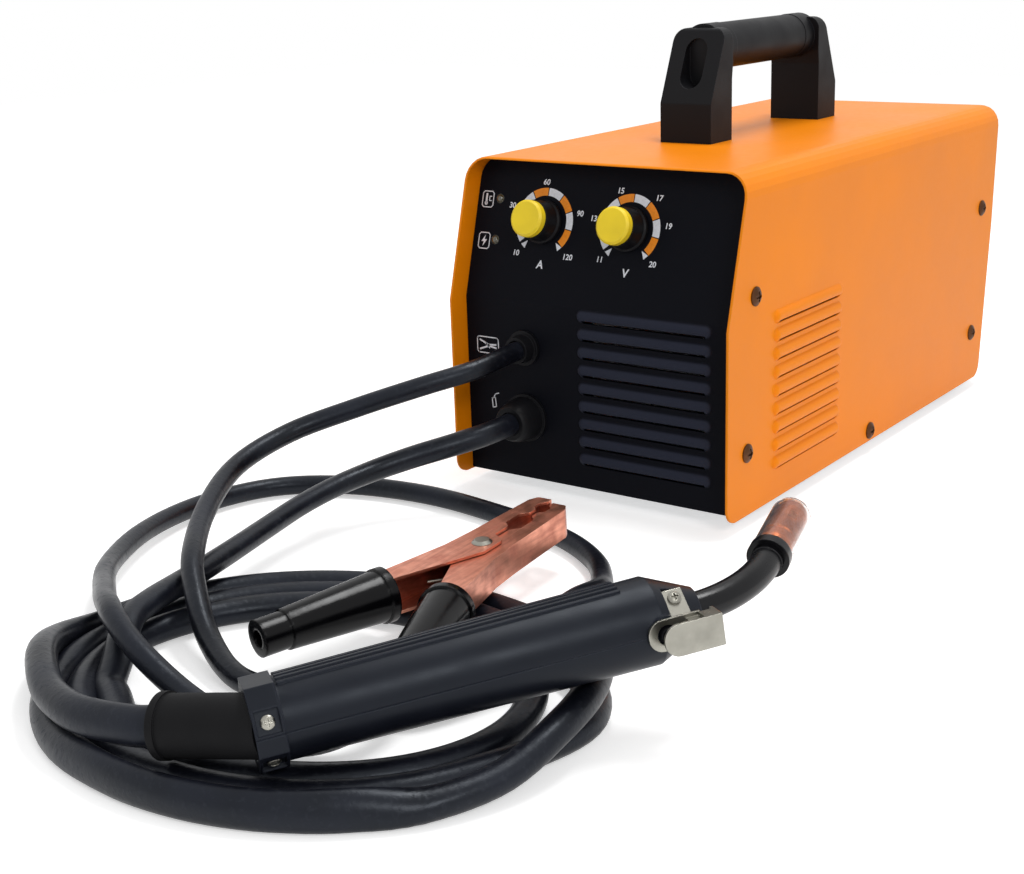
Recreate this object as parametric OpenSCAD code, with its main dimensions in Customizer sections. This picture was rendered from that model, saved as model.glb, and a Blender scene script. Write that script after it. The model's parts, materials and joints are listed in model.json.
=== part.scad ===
// Small wire-feed welding machine with its torch and earth clamp.
// Millimetres: X to the right, Y to the rear, Z up. The floor is z = 0 and the
// origin lies under the middle of the case.

/* [Case] */
// Width of the case over its cover
body_w = 175; // [168:1:190]
// Length of the cover along its top
body_len = 367; // [355:1:400]
// Height of the cover
body_h = 179; // [172:1:190]
// Height of the rubber feet under the cover's edge
foot_h = 7; // [5:0.5:12]
// Thickness of the sheet steel
sheet = 1.2; // [0.8:0.1:1.6]
// Height of the kink in the front and rear edges
kink_h = 102; // [98:1:108]
// How far the front edge leans back above the kink
front_lean = 21.5; // [14:0.5:26]
// How far the bottom of the rear edge is set in
rear_lean = 15; // [8:0.5:20]
// How far the rear kink is set in
rear_kink = 4; // [2:0.5:6]
// Radius of the cover's bends along the top
edge_r = 13; // [8:0.5:18]
// Radius of the cover's cut corners
corner_r = 9; // [4:0.5:12]
// Gap between parts that are slid together
fit_gap = 0.3; // [0.2:0.05:0.5]
// How far the front panel sits behind the cover's edge
panel_inset = 13.2; // [8:0.2:18]
// Thickness of the front and rear panels
panel_t = 2; // [1.5:0.1:3]
// Depth of the flanges round the panels
flange_d = 18; // [16:0.5:22]

/* [Louvres] */
// Number of louvres in each field
louvre_count = 9; // [6:1:9]
// Distance from louvre to louvre
louvre_pitch = 10; // [9:0.1:10.5]
// Height of one louvre
louvre_w = 7.6; // [6:0.1:8.4]
// How far a louvre stands out
louvre_out = 2.2; // [1.5:0.1:3]
// Height of the slit under each louvre
louvre_slit = 1.8; // [1:0.1:2.4]
// Length of the side louvres
side_louvre_len = 81; // [60:1:90]
// Length of the front louvres
front_louvre_len = 83; // [60:1:86]

/* [Handle] */
// How far the handle sits off the middle, to the left
handle_off = 2; // [0:0.5:4]
// Length of the handle over both legs
handle_len = 160; // [150:1:190]
// Width of a handle leg
leg_w = 32.6; // [30:0.2:40]
// Thickness of a handle leg along the machine
leg_d = 24.3; // [22:0.1:28]
// Height of a leg's upright foot
leg_foot_h = 22; // [16:0.5:26]
// How far a leg's outer face leans in
leg_lean = 17.5; // [12:0.5:19]
// Height of the grip's axis over the cover
grip_h = 51.4; // [46:0.2:60]
// Outer diameter of the grip
grip_d = 26; // [24:0.5:29]
// Bore of the grip
grip_bore = 16; // [12:0.5:20]
// Width of the slot through a leg's outer face
slot_w = 14; // [10:0.5:16]
// Length of the slot through a leg's outer face
slot_len = 27; // [20:0.5:32]

/* [Controls] */
// Distance of the current dial from the middle, to the left
current_x = 39.7; // [36:0.1:44]
// Distance of the voltage dial from the middle, to the right
voltage_x = 14.8; // [12:0.1:20]
// Distance of the dials up the leaning panel
dial_up = 44.5; // [40:0.5:48]
// Diameter of a knob's skirt
knob_d = 24; // [20:0.5:26]
// How far a knob stands out
knob_h = 18.4; // [16:0.2:22]
// Diameter of a knob's yellow cap
cap_d = 20; // [16:0.5:20]
// Diameter of the knob's stem
stem_d = 6; // [5:0.1:6.5]
// Running clearance round turning parts, on the radius
run_gap = 0.05; // [0.03:0.01:0.1]
// Distance of the lamps from the middle, to the left
lamp_x = 71; // [68:0.5:74]
// Distance of the lower lamp up the leaning panel
lamp_up = 32.6; // [30:0.2:36]
// Distance between the two lamps
lamp_step = 22.8; // [18:0.2:26]
// Diameter of a lamp's lens
lamp_d = 5; // [3:0.5:6]

/* [Leads] */
// Distance of both glands from the middle, to the left
gland_x = 46.5; // [44:0.5:48]
// Height of the earth gland over the cover's edge
earth_up = 76.5; // [74:0.5:78]
// Height of the torch gland over the cover's edge
torch_up = 36.5; // [35:0.5:38]
// Diameter of the earth lead
earth_d = 10.6; // [9:0.1:11]
// Diameter of the torch lead
lead_d = 12.5; // [11:0.1:13]
// Clearance round a lead in its gland
lead_gap = 0.3; // [0.2:0.05:0.5]
// Bore of the mains gland at the rear
mains_bore = 9; // [7:0.5:11]

/* [Torch] */
// Length of the torch handle with its tapered nose
torch_len = 176; // [165:1:186]
// Diameter of the torch handle at its rear end
torch_rear_d = 31.4; // [30:0.2:33]
// Diameter of the torch handle in front of its nose
torch_d = 35; // [33:0.5:36]
// Length of the torch handle's tapered nose
torch_nose = 19; // [14:1:24]
// Wall of the torch handle's shells
torch_wall = 2.6; // [2:0.1:3.5]
// Diameter of the swan neck
neck_d = 12.6; // [11:0.1:14]
// Bend radius of the swan neck
neck_r = 60; // [50:1:66]
// Bend angle of the swan neck
neck_bend = 47.5; // [40:0.5:60]
// Outer diameter of the copper nozzle
nozzle_d = 14.4; // [13.6:0.1:16]
// Length of the copper nozzle
nozzle_len = 40; // [36:1:48]
// Outer diameter of the clear cap over the nozzle
tip_cap_d = 17; // [16.6:0.1:19]
// Diameter of the lead's boot at the torch
boot_d = 24; // [22:0.5:26]
// Length of the lead's boot at the torch
boot_len = 36; // [30:1:40]
// Length of the trigger's lever
trigger_len = 24.6; // [23:0.2:28]
// Width of the trigger's lever
trigger_w = 12.6; // [11:0.2:16]
// Gap under the released lever
trigger_gap = 8; // [7:0.5:9]
// Clearance between the released lever and the button
button_gap = 0.1; // [0.05:0.05:0.3]

/* [Earth clamp] */
// Length of the jaws in front of the rivet
jaw_len = 60; // [54:1:64]
// Length of the clamp's handles behind the rivet
grip_len = 119; // [110:1:130]
// Half of the angle between the handles
grip_spread = 18.5; // [16:0.5:22]
// Width of the outer jaw's channel
jaw_w = 18; // [17:0.5:18]
// Thickness of the clamp's sheet
jaw_sheet = 1.4; // [1:0.1:1.8]
// Diameter of the clamp's rivet
rivet_d = 6; // [5:0.5:7]

/* [Wire feed] */
// Distance of the dividing wall from the middle, to the left
divider_x = 18; // [14:0.5:20]
// Diameter of the wire spool
spool_d = 100; // [90:1:102]
// Width of the wire spool
spool_w = 45; // [40:0.5:46]
// Bore of the wire spool
spool_bore = 16; // [15:0.5:18]
// Distance of the spool's axle from the middle, to the rear
spool_y = 62; // [58:1:66]
// Diameter of the drive roller
roller_d = 30; // [26:0.5:32]
// Width of the drive and pressure rollers
roller_w = 10; // [8:0.5:12]
// Diameter of the pressure roller
press_d = 22; // [18:0.5:24]
// Distance of the rollers from the middle, to the front
feed_y = 70; // [64:1:76]

/* [Electrics] */
// Side of the square fan
fan_size = 80; // [70:1:84]
// Depth of the fan
fan_t = 25; // [20:1:28]
// Height of the fan's axis over the cover's edge
fan_up = 50; // [48:1:56]
// Distance of the fan's axis from the case's right side
fan_in = 53.5; // [51.5:0.5:55.5]
// Width of the power switch
switch_w = 22; // [20:0.5:24]
// Height of the power switch
switch_h = 30; // [26:0.5:32]

/* [Hidden] */
$fn = 64;
eps = 0.01;
top_z = foot_h + body_h;
front_y = -body_len / 2;
rear_y = body_len / 2;
half_w = body_w / 2;
inner_x = half_w - sheet - fit_gap;
lean_a = atan(front_lean / (body_h - kink_h));
panel_y = front_y + panel_inset;
rear_panel_y = rear_y - rear_lean - 3;
tray_t = 1.5;
flange_t = 1.6;

// cover screws: distance from the cover's front edge line and height over its lower edge
screw_spots = [[28.2, 115.7], [20.9, 34.4], [175.1, 6.5], [body_len - 24.2, 114.8], [body_len - 32.5, 32.9]];
screw_head_d = 10;
screw_head_h = 2.6;
screw_d = 4.2;
screw_len = 9;
screw_gap = 0.15;

door_front = front_y + 71.5;
door_rear = rear_y - 59.5;
door_low = 22;
door_high = 158;
door_gap = 1;
knuckle_r = 2;
hinge_pin_r = 1;
hinge_up = [30, 128];
hinge_len = 24;
leaf_w = 11;

leg_y = 9;
handle_front = leg_y - handle_len / 2;
grip_z = top_z + grip_h;
leg_top = grip_h + grip_d / 2 - 2;
grip_socket = 12;
grip_clear = 0.1;
leg_screw_x = 9;
leg_screw_d = 5;

cap_t = 5.4;
pot_d = 17;
pot_h = 10;
bush_d = 8;
nut_t = 2;
lamp_out = 1.6;
lamp_depth = 12;

earth_collar_h = 9;
dome_h = 17;
gland_thread = 9;

torch_tail = [70, -508.5, 30.2];
torch_yaw = 54.2;
torch_pitch = 5.6;
torch_roll = -5;
neck_roll = 13;
neck_from = torch_len - 2.5;
neck_out = 4.5;
tip_base_r = 4.6;
nozzle_wall = 1.9;
nozzle_cap_gap = 0.1;
boot_yaw = 17.4;
boot_pitch = 7.4;
boot_grip = 8;
hinge_at = torch_len - 2;
lever_sheet = 1.2;
lever_short = 3.2;
button_at = -17;

clamp_at = [33, -318.5, 23.4];
clamp_yaw = 91.6;
clamp_pitch = 2.5;
jaw_gap = 0.35;
boot_from = 54;
clamp_boot_r = 12;
arm_w = 11;

divider_h = body_h - 29;
board_w = 56;
board_len = 120;
board_t = 1.6;
board_in = 66.5;
board_behind = 73.5;
board_foot_in = 4;
board_foot_out = 6;
spool_z = foot_h + 76;
spool_x = -divider_x - 7 - spool_w / 2;
wire_z = foot_h + torch_up;
roller_x = -gland_x;
nip_gap = 0.35;
fan_z = foot_h + fan_up;
fan_x = half_w - fan_in;
fan_y = rear_panel_y - panel_t - fan_t;
rocker_gap = 0.3;
rocker_y = -3.4;
rocker_pin_r = 1.2;
rocker_tilt = 7;

// ---- outlines and helpers -------------------------------------------------

function unit(v) = v / norm(v);

// the points of one rounded corner b between a and c
function corner(a, b, c, r, n = 6) =
    let(u = unit(a - b), w = unit(c - b), half = acos(u * w) / 2,
        p = b + u * (r / tan(half)), q = b + w * (r / tan(half)),
        m = b + unit(u + w) * (r / sin(half)),
        a0 = atan2(p.y - m.y, p.x - m.x), a1 = atan2(q.y - m.y, q.x - m.x),
        turn = ((a1 - a0 + 540) % 360) - 180)
    [for (i = [0 : n]) m + r * [cos(a0 + turn * i / n), sin(a0 + turn * i / n)]];

// a polygon whose corner i is rounded by radii[i], or sharp where that is 0
function rounded(pts, radii) = let(k = len(pts)) [for (i = [0 : k - 1])
    each (radii[i] > 0 ? corner(pts[(i + k - 1) % k], pts[i], pts[(i + 1) % k], radii[i])
        : [pts[i]])];

function reversed(v) = [for (i = [len(v) - 1 : -1 : 0]) v[i]];

// outline in Y and Z, extruded along X about the middle plane
module along_x(w) { rotate([90, 0, 90]) linear_extrude(height = w, center = true) children(); }

// outline in X and Z, extruded from y_a to y_b
module along_y(y_a, y_b) {
    translate([0, y_b, 0]) rotate([90, 0, 0]) linear_extrude(height = y_b - y_a) children();
}

// bar with round ends along X
module capsule(l, r) {
    rotate([0, 90, 0]) cylinder(h = l, r = r, center = true);
    for (s = [-1, 1]) translate([s * l / 2, 0, 0]) sphere(r);
}

// tube or disc along X
module disc_x(x_a, x_b, r) { translate([x_a, 0, 0]) rotate([0, 90, 0]) cylinder(h = x_b - x_a, r = r); }

// ---- louvres: length along X, down towards -Y, outward +Z ------------------

function louvre_r() = (pow(louvre_out, 2) + pow(louvre_w / 2, 2)) / (2 * louvre_out);

module louvre_at(i) { translate([0, (i - (louvre_count - 1) / 2) * louvre_pitch, 0]) children(); }

module louvre_bumps(length, wall) {
    for (i = [0 : louvre_count - 1]) louvre_at(i) intersection() {
        translate([0, 0, louvre_out - louvre_r()]) capsule(length - louvre_w, louvre_r());
        translate([-length, -louvre_w, -wall / 2]) cube([2 * length, 2 * louvre_w, 2 * louvre_out + wall]);
    }
}

module louvre_hollows(length, wall) {
    for (i = [0 : louvre_count - 1]) louvre_at(i) {
        translate([0, 0, louvre_out - louvre_r()]) capsule(length - louvre_w, louvre_r() - wall);
        translate([-(length - louvre_w) / 2, -louvre_w / 2, -3 * wall])
            cube([length - louvre_w, louvre_slit, 6 * wall]);
    }
}

// ---- case ------------------------------------------------------------------

// the cover's outline across the machine, drawn in by off
module section(off) {
    low = off > 0 ? foot_h - 2 : foot_h;
    polygon(rounded([[half_w - off, low], [half_w - off, top_z - off], [off - half_w, top_z - off],
        [off - half_w, low]], [0, edge_r - off, edge_r - off, 0]));
}

module side_outline() {
    polygon(rounded([[front_y, foot_h], [front_y, foot_h + kink_h], [front_y + front_lean, top_z],
        [rear_y, top_z], [rear_y - rear_kink, foot_h + kink_h], [rear_y - rear_lean, foot_h]],
        [corner_r, 0, 2, 3, 0, corner_r]));
}

module on_side(s) { translate([s * half_w, 0, 0]) rotate([0, s * 90, 0]) children(); }

module screw_places(s) {
    for (p = screw_spots) translate([s * half_w, front_y + p[0], foot_h + p[1]])
        rotate([0, s * 90, 0]) children();
}

module side_field() {
    translate([half_w, front_y + 89.5, foot_h + 60.5]) rotate([90, 0, 90]) children();
}

module cover() {
    color("orange") difference() {
        union() {
            difference() {
                intersection() {
                    along_y(front_y, rear_y) section(0);
                    along_x(body_w + 2) side_outline();
                }
                along_y(front_y - 1, rear_y + 1) section(sheet);
                translate([-half_w - 1, door_front, foot_h + door_low])
                    cube([sheet + 2, door_rear - door_front, door_high - door_low]);
            }
            side_field() louvre_bumps(side_louvre_len, sheet);
        }
        side_field() louvre_hollows(side_louvre_len, sheet);
        for (s = [-1, 1]) screw_places(s) translate([0, 0, -4]) cylinder(h = 8, d = screw_d + 2 * screw_gap);
        leg_screw_places() translate([0, 0, -4]) cylinder(h = 8, d = leg_screw_d + 2 * screw_gap);
    }
}

module base_tray() {
    y_a = panel_y + panel_t + fit_gap;
    y_b = rear_panel_y - panel_t - fit_gap;
    color("dimgray") difference() {
        union() {
            translate([-inner_x, y_a, foot_h]) cube([2 * inner_x, y_b - y_a, tray_t]);
            for (s = [-1, 1]) translate([s * (inner_x - flange_t / 2) - flange_t / 2, y_a + flange_d + 2, foot_h])
                cube([flange_t, y_b - y_a - 2 * flange_d - 4, 15]);
        }
        foot_places() cylinder(h = 20, d = 6.2, center = true);
        for (s = [-1, 1]) screw_places(s) translate([0, 0, -12]) cylinder(h = 14, d = screw_d + 2 * screw_gap);
        for (i = [0 : 5]) translate([divider_x - 4, -60 + 18 * i, foot_h]) cube([50, 5, 8], center = true);
    }
}

// the line of a panel that leans as the cover's front edge does
function panel_line(off, low) = [[front_y + off, foot_h + low], [front_y + off, foot_h + kink_h],
    [front_y + off + front_lean, top_z]];

module on_panel(x, up) {
    translate([x, panel_y + up * sin(lean_a), foot_h + kink_h + up * cos(lean_a)])
        rotate([90 - lean_a, 0, 0]) children();
}

module on_lower_panel(x, up) { translate([x, panel_y, foot_h + up]) rotate([90, 0, 0]) children(); }

module front_field() { on_lower_panel(29.8, 58) children(); }

module front_panel() {
    color("#1c1d20") difference() {
        union() {
            difference() {
                intersection() {
                    along_y(front_y, 0) section(sheet + fit_gap);
                    along_x(body_w) polygon(concat(panel_line(panel_inset, 1),
                        reversed(panel_line(panel_inset + panel_t + flange_d, 1))));
                }
                intersection() {
                    along_y(front_y - 1, 1) section(sheet + fit_gap + flange_t);
                    along_x(body_w) polygon(concat(panel_line(panel_inset + panel_t, -5),
                        reversed(panel_line(panel_inset + panel_t + flange_d + 20, -5))));
                }
                translate([-half_w, panel_y + panel_t, 0]) cube([body_w, 3 * flange_d, foot_h + tray_t + fit_gap]);
            }
            front_field() louvre_bumps(front_louvre_len, panel_t);
        }
        front_field() louvre_hollows(front_louvre_len, 1.2);
        on_panel(-current_x, dial_up) cylinder(h = 20, d = bush_d + 0.4, center = true);
        on_panel(voltage_x, dial_up) cylinder(h = 20, d = bush_d + 0.4, center = true);
        for (i = [0, 1]) on_panel(-lamp_x, lamp_up + i * lamp_step)
            cylinder(h = 20, d = lamp_d + 2 * screw_gap, center = true);
        on_lower_panel(-gland_x, earth_up) cylinder(h = 20, d = earth_d + 5, center = true);
        on_lower_panel(-gland_x, torch_up) cylinder(h = 20, d = lead_d + 4, center = true);
        for (s = [-1, 1]) screw_places(s) translate([0, 0, -12]) cylinder(h = 14, d = screw_d + 2 * screw_gap);
    }
}

module rear_panel() {
    color("#1c1d20") difference() {
        intersection() {
            along_y(rear_panel_y - panel_t - flange_d, rear_panel_y) section(sheet + fit_gap);
            translate([-half_w, front_y, foot_h + 1]) cube([body_w, body_len, body_h]);
        }
        along_y(rear_panel_y - panel_t - flange_d - 1, rear_panel_y - panel_t)
            section(sheet + fit_gap + flange_t);
        translate([-half_w, rear_panel_y - panel_t - flange_d - 1, 0])
            cube([body_w, flange_d + 1, foot_h + tray_t + fit_gap]);
        for (r = [14 : 6 : 38]) translate([fan_x, rear_panel_y, fan_z]) rotate([90, 0, 0])
            difference() {
                cylinder(h = 3 * panel_t, r = r, center = true);
                cylinder(h = 4 * panel_t, r = r - 3.4, center = true);
                for (a = [45, 135]) rotate(a) cube([90, 3, 5 * panel_t], center = true);
            }
        for (sx = [-1, 1], sz = [-1, 1]) translate([fan_x + sx * (fan_size / 2 - 4), rear_panel_y, fan_z + sz * (fan_size / 2 - 4)])
            rotate([90, 0, 0]) cylinder(h = 4 * panel_t, d = 4.3, center = true);
        switch_place() cube([switch_w - 2, 6 * panel_t, switch_h - 2], center = true);
        mains_place() cylinder(h = 8 * panel_t, d = mains_bore + 7, center = true);
        for (s = [-1, 1]) screw_places(s) translate([0, 0, -12]) cylinder(h = 14, d = screw_d + 2 * screw_gap);
    }
}

module divider() {
    y_a = panel_y + panel_t + flange_d + 4;
    y_b = rear_panel_y - panel_t - flange_d - 4;
    color("silver") difference() {
        union() {
            translate([-divider_x, y_a, foot_h + tray_t]) cube([sheet, y_b - y_a, divider_h]);
            translate([-divider_x, y_a, foot_h + tray_t]) cube([12, y_b - y_a, sheet]);
        }
        translate([-divider_x, -feed_y, roller_z()]) disc_x(-5, 20, 17);
        translate([-divider_x, spool_y, spool_z]) disc_x(-5, 5, 4.1);
    }
}

// door hinge line, on the outside of the cover's left wall
function hinge_x() = -half_w - knuckle_r;
function hinge_y() = door_rear - door_gap / 2;

module side_door() {
    y_a = door_front + door_gap;
    color("orange") difference() {
        union() {
            translate([-half_w, y_a, foot_h + door_low + door_gap])
                cube([sheet, door_rear - door_front - 2 * door_gap, door_high - door_low - 2 * door_gap]);
            for (h = hinge_up) translate([hinge_x(), hinge_y(), foot_h + h + hinge_len / 3 + 0.2]) {
                cylinder(h = hinge_len / 3 - 0.4, r = knuckle_r);
                translate([knuckle_r - 1, -leaf_w, 0]) cube([1, leaf_w, hinge_len / 3 - 0.4]);
            }
        }
        for (h = hinge_up) translate([hinge_x(), hinge_y(), foot_h + h]) cylinder(h = hinge_len, r = hinge_pin_r + run_gap);
        latch_place() cylinder(h = 20, r = 4 + run_gap, center = true);
    }
}

module door_hinges() {
    color("silver") for (h = hinge_up) translate([hinge_x(), hinge_y(), foot_h + h]) {
        for (k = [0, 2]) translate([0, 0, k * hinge_len / 3]) {
            cylinder(h = hinge_len / 3, r = knuckle_r);
            translate([knuckle_r - 1, 0, 0]) cube([1, leaf_w, hinge_len / 3]);
        }
        cylinder(h = hinge_len, r = hinge_pin_r);
    }
}

// local +Z points out of the door
module latch_place() {
    translate([-half_w, door_front + 14, foot_h + (door_low + door_high) / 2]) rotate([0, -90, 0]) children();
}

module door_latch() {
    color("#202124") latch_place() {
        difference() {
            cylinder(h = 3, r = 9);
            translate([-7, -1, 1.4]) cube([14, 2, 3]);
        }
        translate([0, 0, -sheet - fit_gap - 2.4]) cylinder(h = sheet + fit_gap + 2.5, r = 4);
        translate([-4, -4, -sheet - fit_gap - 2.4]) cube([20, 8, 2.4 - fit_gap]);
    }
}

module foot_places() {
    for (sx = [-1, 1], sy = [-1, 1]) translate([sx * (half_w - 22), sy * 130 + 2, foot_h]) children();
}

module feet() {
    color("#141414") foot_places() {
        difference() {
            translate([0, 0, -foot_h]) cylinder(h = foot_h, r1 = 8.5, r2 = 10);
            translate([0, 0, -foot_h - eps]) cylinder(h = 2, r = 4);
        }
        cylinder(h = tray_t + 0.1, r = 3);
        translate([0, 0, tray_t + 0.1]) cylinder(h = 2, r1 = 4.6, r2 = 3);
    }
}

module pan_screw(d, head_d, head_h, length) {
    difference() {
        intersection() {
            cylinder(h = head_h, d = head_d);
            translate([0, 0, head_h - head_d * 0.75]) sphere(head_d * 0.75);
        }
        for (a = [0, 90]) rotate(a) translate([-head_d * 0.28, -head_d * 0.07, head_h - 1.3])
            cube([head_d * 0.56, head_d * 0.14, 2]);
    }
    translate([0, 0, -length]) cylinder(h = length + eps, d = d);
}

module cover_screws() {
    color("#3a2a22") for (s = [-1, 1]) screw_places(s) pan_screw(screw_d, screw_head_d, screw_head_h, screw_len);
}

// ---- carrying handle ---------------------------------------------------------

module leg_screw_places() {
    for (m = [-1, 1], s = [-1, 1])
        translate([s * leg_screw_x - handle_off, leg_y + m * (handle_len - leg_d) / 2, top_z]) children();
}

module handle_leg() {
    difference() {
        translate([-handle_off, 0, 0]) difference() {
            union() {
                intersection() {
                    along_x(leg_w) polygon(rounded([[handle_front, top_z], [handle_front, top_z + leg_foot_h],
                        [handle_front + leg_lean, top_z + leg_top], [handle_front + leg_d + 1, top_z + leg_top],
                        [handle_front + leg_d + 1, grip_z - grip_d / 2 + 4], [handle_front + leg_d, grip_z - grip_d / 2 - 4],
                        [handle_front + leg_d, top_z]], [0, 3, 3, 0, 0, 0, 0]));
                    along_y(handle_front - 1, handle_front + leg_d + 2) polygon(rounded([[-leg_w / 2, top_z],
                        [-leg_w / 2, top_z + leg_top], [leg_w / 2, top_z + leg_top], [leg_w / 2, top_z]],
                        [0, 7, 7, 0]));
                }
                translate([0, handle_front + leg_d - 4, grip_z]) rotate([-90, 0, 0])
                    cylinder(h = 4 + grip_socket, d = grip_d + 0.6);
            }
            for (s = [-1, 1]) translate([0, handle_front - 1, grip_z - 8 + s * (slot_len - slot_w) / 2])
                rotate([-90, 0, 0]) cylinder(h = leg_d - 6, d = slot_w);
            translate([-slot_w / 2, handle_front - 1, grip_z - 8 - (slot_len - slot_w) / 2])
                cube([slot_w, leg_d - 6, slot_len - slot_w]);
            translate([0, handle_front + leg_d - 5, grip_z]) rotate([-90, 0, 0])
                cylinder(h = 40, d = grip_d - 3 + 2 * grip_clear);
        }
        translate([0, 0, -eps]) leg_screw_places() cylinder(h = 14, d = leg_screw_d + 2 * screw_gap);
    }
}

module handle_front_leg() { color("#1b1b1e") handle_leg(); }

module handle_rear_leg() {
    color("#1b1b1e") translate([0, 2 * leg_y, 0]) mirror([0, 1, 0]) handle_leg();
}

module handle_grip() {
    seam = handle_front + leg_d + grip_socket;
    spigot = handle_front + leg_d - 5;
    color("#26262a") translate([-handle_off, leg_y, grip_z]) rotate([90, 0, 0]) difference() {
        union() {
            cylinder(h = 2 * (leg_y - seam), d = grip_d, center = true);
            cylinder(h = 2 * (leg_y - spigot), d = grip_d - 3, center = true);
        }
        cylinder(h = handle_len, d = grip_bore, center = true);
    }
}

module handle_screws() {
    color("silver") leg_screw_places() translate([0, 0, -sheet]) rotate([180, 0, 0])
        pan_screw(leg_screw_d, 9, 3, sheet + 12);
}

// ---- controls ----------------------------------------------------------------

module knob(x) {
    on_panel(x, dial_up) difference() {
        union() {
            rotate_extrude() polygon([[0, 1.2], [knob_d / 2, 1.2], [knob_d / 2, 3.2], [knob_d / 2 - 1, 4],
                [cap_d / 2 + 0.4, knob_h - cap_t], [0, knob_h - cap_t]]);
            translate([0, 0, -8]) cylinder(h = 12, d = stem_d);
        }
        difference() {
            translate([0, 0, 1]) cylinder(h = 3.5, r = 8);
            cylinder(h = 6, d = stem_d);
        }
        translate([0, 0, knob_h - cap_t - 3]) cylinder(h = 4, r = 5);
    }
}

module knob_cap(x) {
    on_panel(x, dial_up) {
        rotate_extrude() polygon([[0, knob_h - cap_t], [cap_d / 2 - 0.6, knob_h - cap_t],
            [cap_d / 2, knob_h - cap_t + 0.6], [cap_d / 2, knob_h - 1.2], [cap_d / 2 - 1.2, knob_h], [0, knob_h]]);
        translate([0, 0, knob_h - cap_t - 2.5]) cylinder(h = 3, r = 5 - run_gap);
    }
}

module current_knob() { color("#161618") knob(-current_x); }
module current_cap() { color("gold") knob_cap(-current_x); }
module voltage_knob() { color("#161618") knob(voltage_x); }
module voltage_cap() { color("gold") knob_cap(voltage_x); }

module potentiometers() {
    color("steelblue") for (x = [-current_x, voltage_x]) on_panel(x, dial_up) difference() {
        union() {
            translate([0, 0, -panel_t - pot_h]) cylinder(h = pot_h, d = pot_d);
            translate([0, 0, -panel_t - 1]) cylinder(h = panel_t + 1 + nut_t + 0.5, d = bush_d);
            cylinder(h = nut_t, d = 13, $fn = 6);
            translate([-6, -pot_d / 2 - 6, -panel_t - 5]) cube([12, 8, 1.6]);
        }
        translate([0, 0, -9]) cylinder(h = 20, d = stem_d + 2 * run_gap);
    }
}

module indicator_lamps() {
    color("khaki") for (i = [0, 1]) on_panel(-lamp_x, lamp_up + i * lamp_step) {
        translate([0, 0, -lamp_depth]) cylinder(h = lamp_depth + lamp_out - lamp_d / 2 + 0.9, d = lamp_d);
        translate([0, 0, lamp_out - lamp_d / 2]) intersection() {
            sphere(d = lamp_d);
            cylinder(h = lamp_d, d = lamp_d);
        }
        translate([0, 0, -panel_t - 1.4]) cylinder(h = 1.4, d = lamp_d + 1.6);
    }
}

// ---- glands --------------------------------------------------------------------

module earth_gland() {
    bore = earth_d + 2 * lead_gap;
    color("#18181a") on_lower_panel(-gland_x, earth_up) difference() {
        union() {
            cylinder(h = 2.4, d = earth_d + 9);
            cylinder(h = earth_collar_h, d1 = earth_d + 6, d2 = earth_d + 4);
            translate([0, 0, -gland_thread]) cylinder(h = gland_thread + 1, d = earth_d + 4.6);
            translate([0, 0, -panel_t - 5]) cylinder(h = 5, d = earth_d + 12, $fn = 6);
        }
        cylinder(h = 60, d = bore, center = true);
    }
}

module torch_gland() {
    bore = lead_d + 2 * lead_gap;
    color("#18181a") on_lower_panel(-gland_x, torch_up) difference() {
        union() {
            rotate_extrude() polygon(concat([[0, 0], [bore / 2 + 7, 0], [bore / 2 + 7, 2.2]],
                [for (a = [0 : 12 : 72]) [bore / 2 + 1.2 + 4.6 * cos(a), 2.2 + (dome_h - 2.2) * sin(a) / sin(72)]],
                [[0, dome_h]]));
            translate([0, 0, -gland_thread]) cylinder(h = gland_thread + 1, d = bore + 3);
            translate([0, 0, -panel_t - 5]) cylinder(h = 5, d = bore + 10, $fn = 6);
        }
        cylinder(h = 80, d = bore, center = true);
    }
}

module mains_place() { translate([-gland_x - 4, rear_panel_y, foot_h + 38]) rotate([-90, 0, 0]) children(); }

module mains_gland() {
    color("#18181a") mains_place() difference() {
        union() {
            cylinder(h = 2.4, d = mains_bore + 12);
            cylinder(h = 12, d1 = mains_bore + 8, d2 = mains_bore + 4);
            translate([0, 0, -gland_thread]) cylinder(h = gland_thread + 1, d = mains_bore + 6.6);
            translate([0, 0, -panel_t - 5]) cylinder(h = 5, d = mains_bore + 12, $fn = 6);
        }
        cylinder(h = 80, d = mains_bore, center = true);
    }
}

// ---- leads -----------------------------------------------------------------------

// a smooth curve through points p, with n steps from each point to the next
function smooth(p, n) = let(last = len(p) - 1) concat([for (i = [0 : last - 1], k = [0 : n - 1])
    let(a = p[max(i - 1, 0)], b = p[i], c = p[i + 1], d = p[min(i + 2, last)], t = k / n)
    0.5 * (2 * b + (c - a) * t + (2 * a - 5 * b + 4 * c - d) * t * t + (3 * b - a - 3 * c + d) * t * t * t)],
    [p[last]]);

function heading(p, i) = unit(p[min(i + 1, len(p) - 1)] - p[max(i - 1, 0)]);

// one ring of a swept tube of diameter d
function ring(p, i, d, sides) =
    let(h = heading(p, i), s = unit(cross(h, [0, 0, 1])), u = cross(s, h))
    [for (k = [0 : sides - 1]) p[i] + d / 2 * (s * cos(360 * k / sides) + u * sin(360 * k / sides))];

// a closed tube swept along the points p
module tube(p, d, sides) {
    n = len(p);
    points = [for (i = [0 : n - 1]) each ring(p, i, d, sides)];
    walls = [for (i = [0 : n - 2], k = [0 : sides - 1])
        let(a = i * sides + k, b = i * sides + (k + 1) % sides)
        each [[a, a + sides, b + sides], [a, b + sides, b]]];
    ends = concat([for (k = [1 : sides - 2]) [0, k, k + 1]],
        [for (k = [1 : sides - 2]) (n - 1) * sides * [1, 1, 1] + [0, k + 1, k]]);
    polyhedron(points = points, faces = concat(walls, ends));
}

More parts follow.
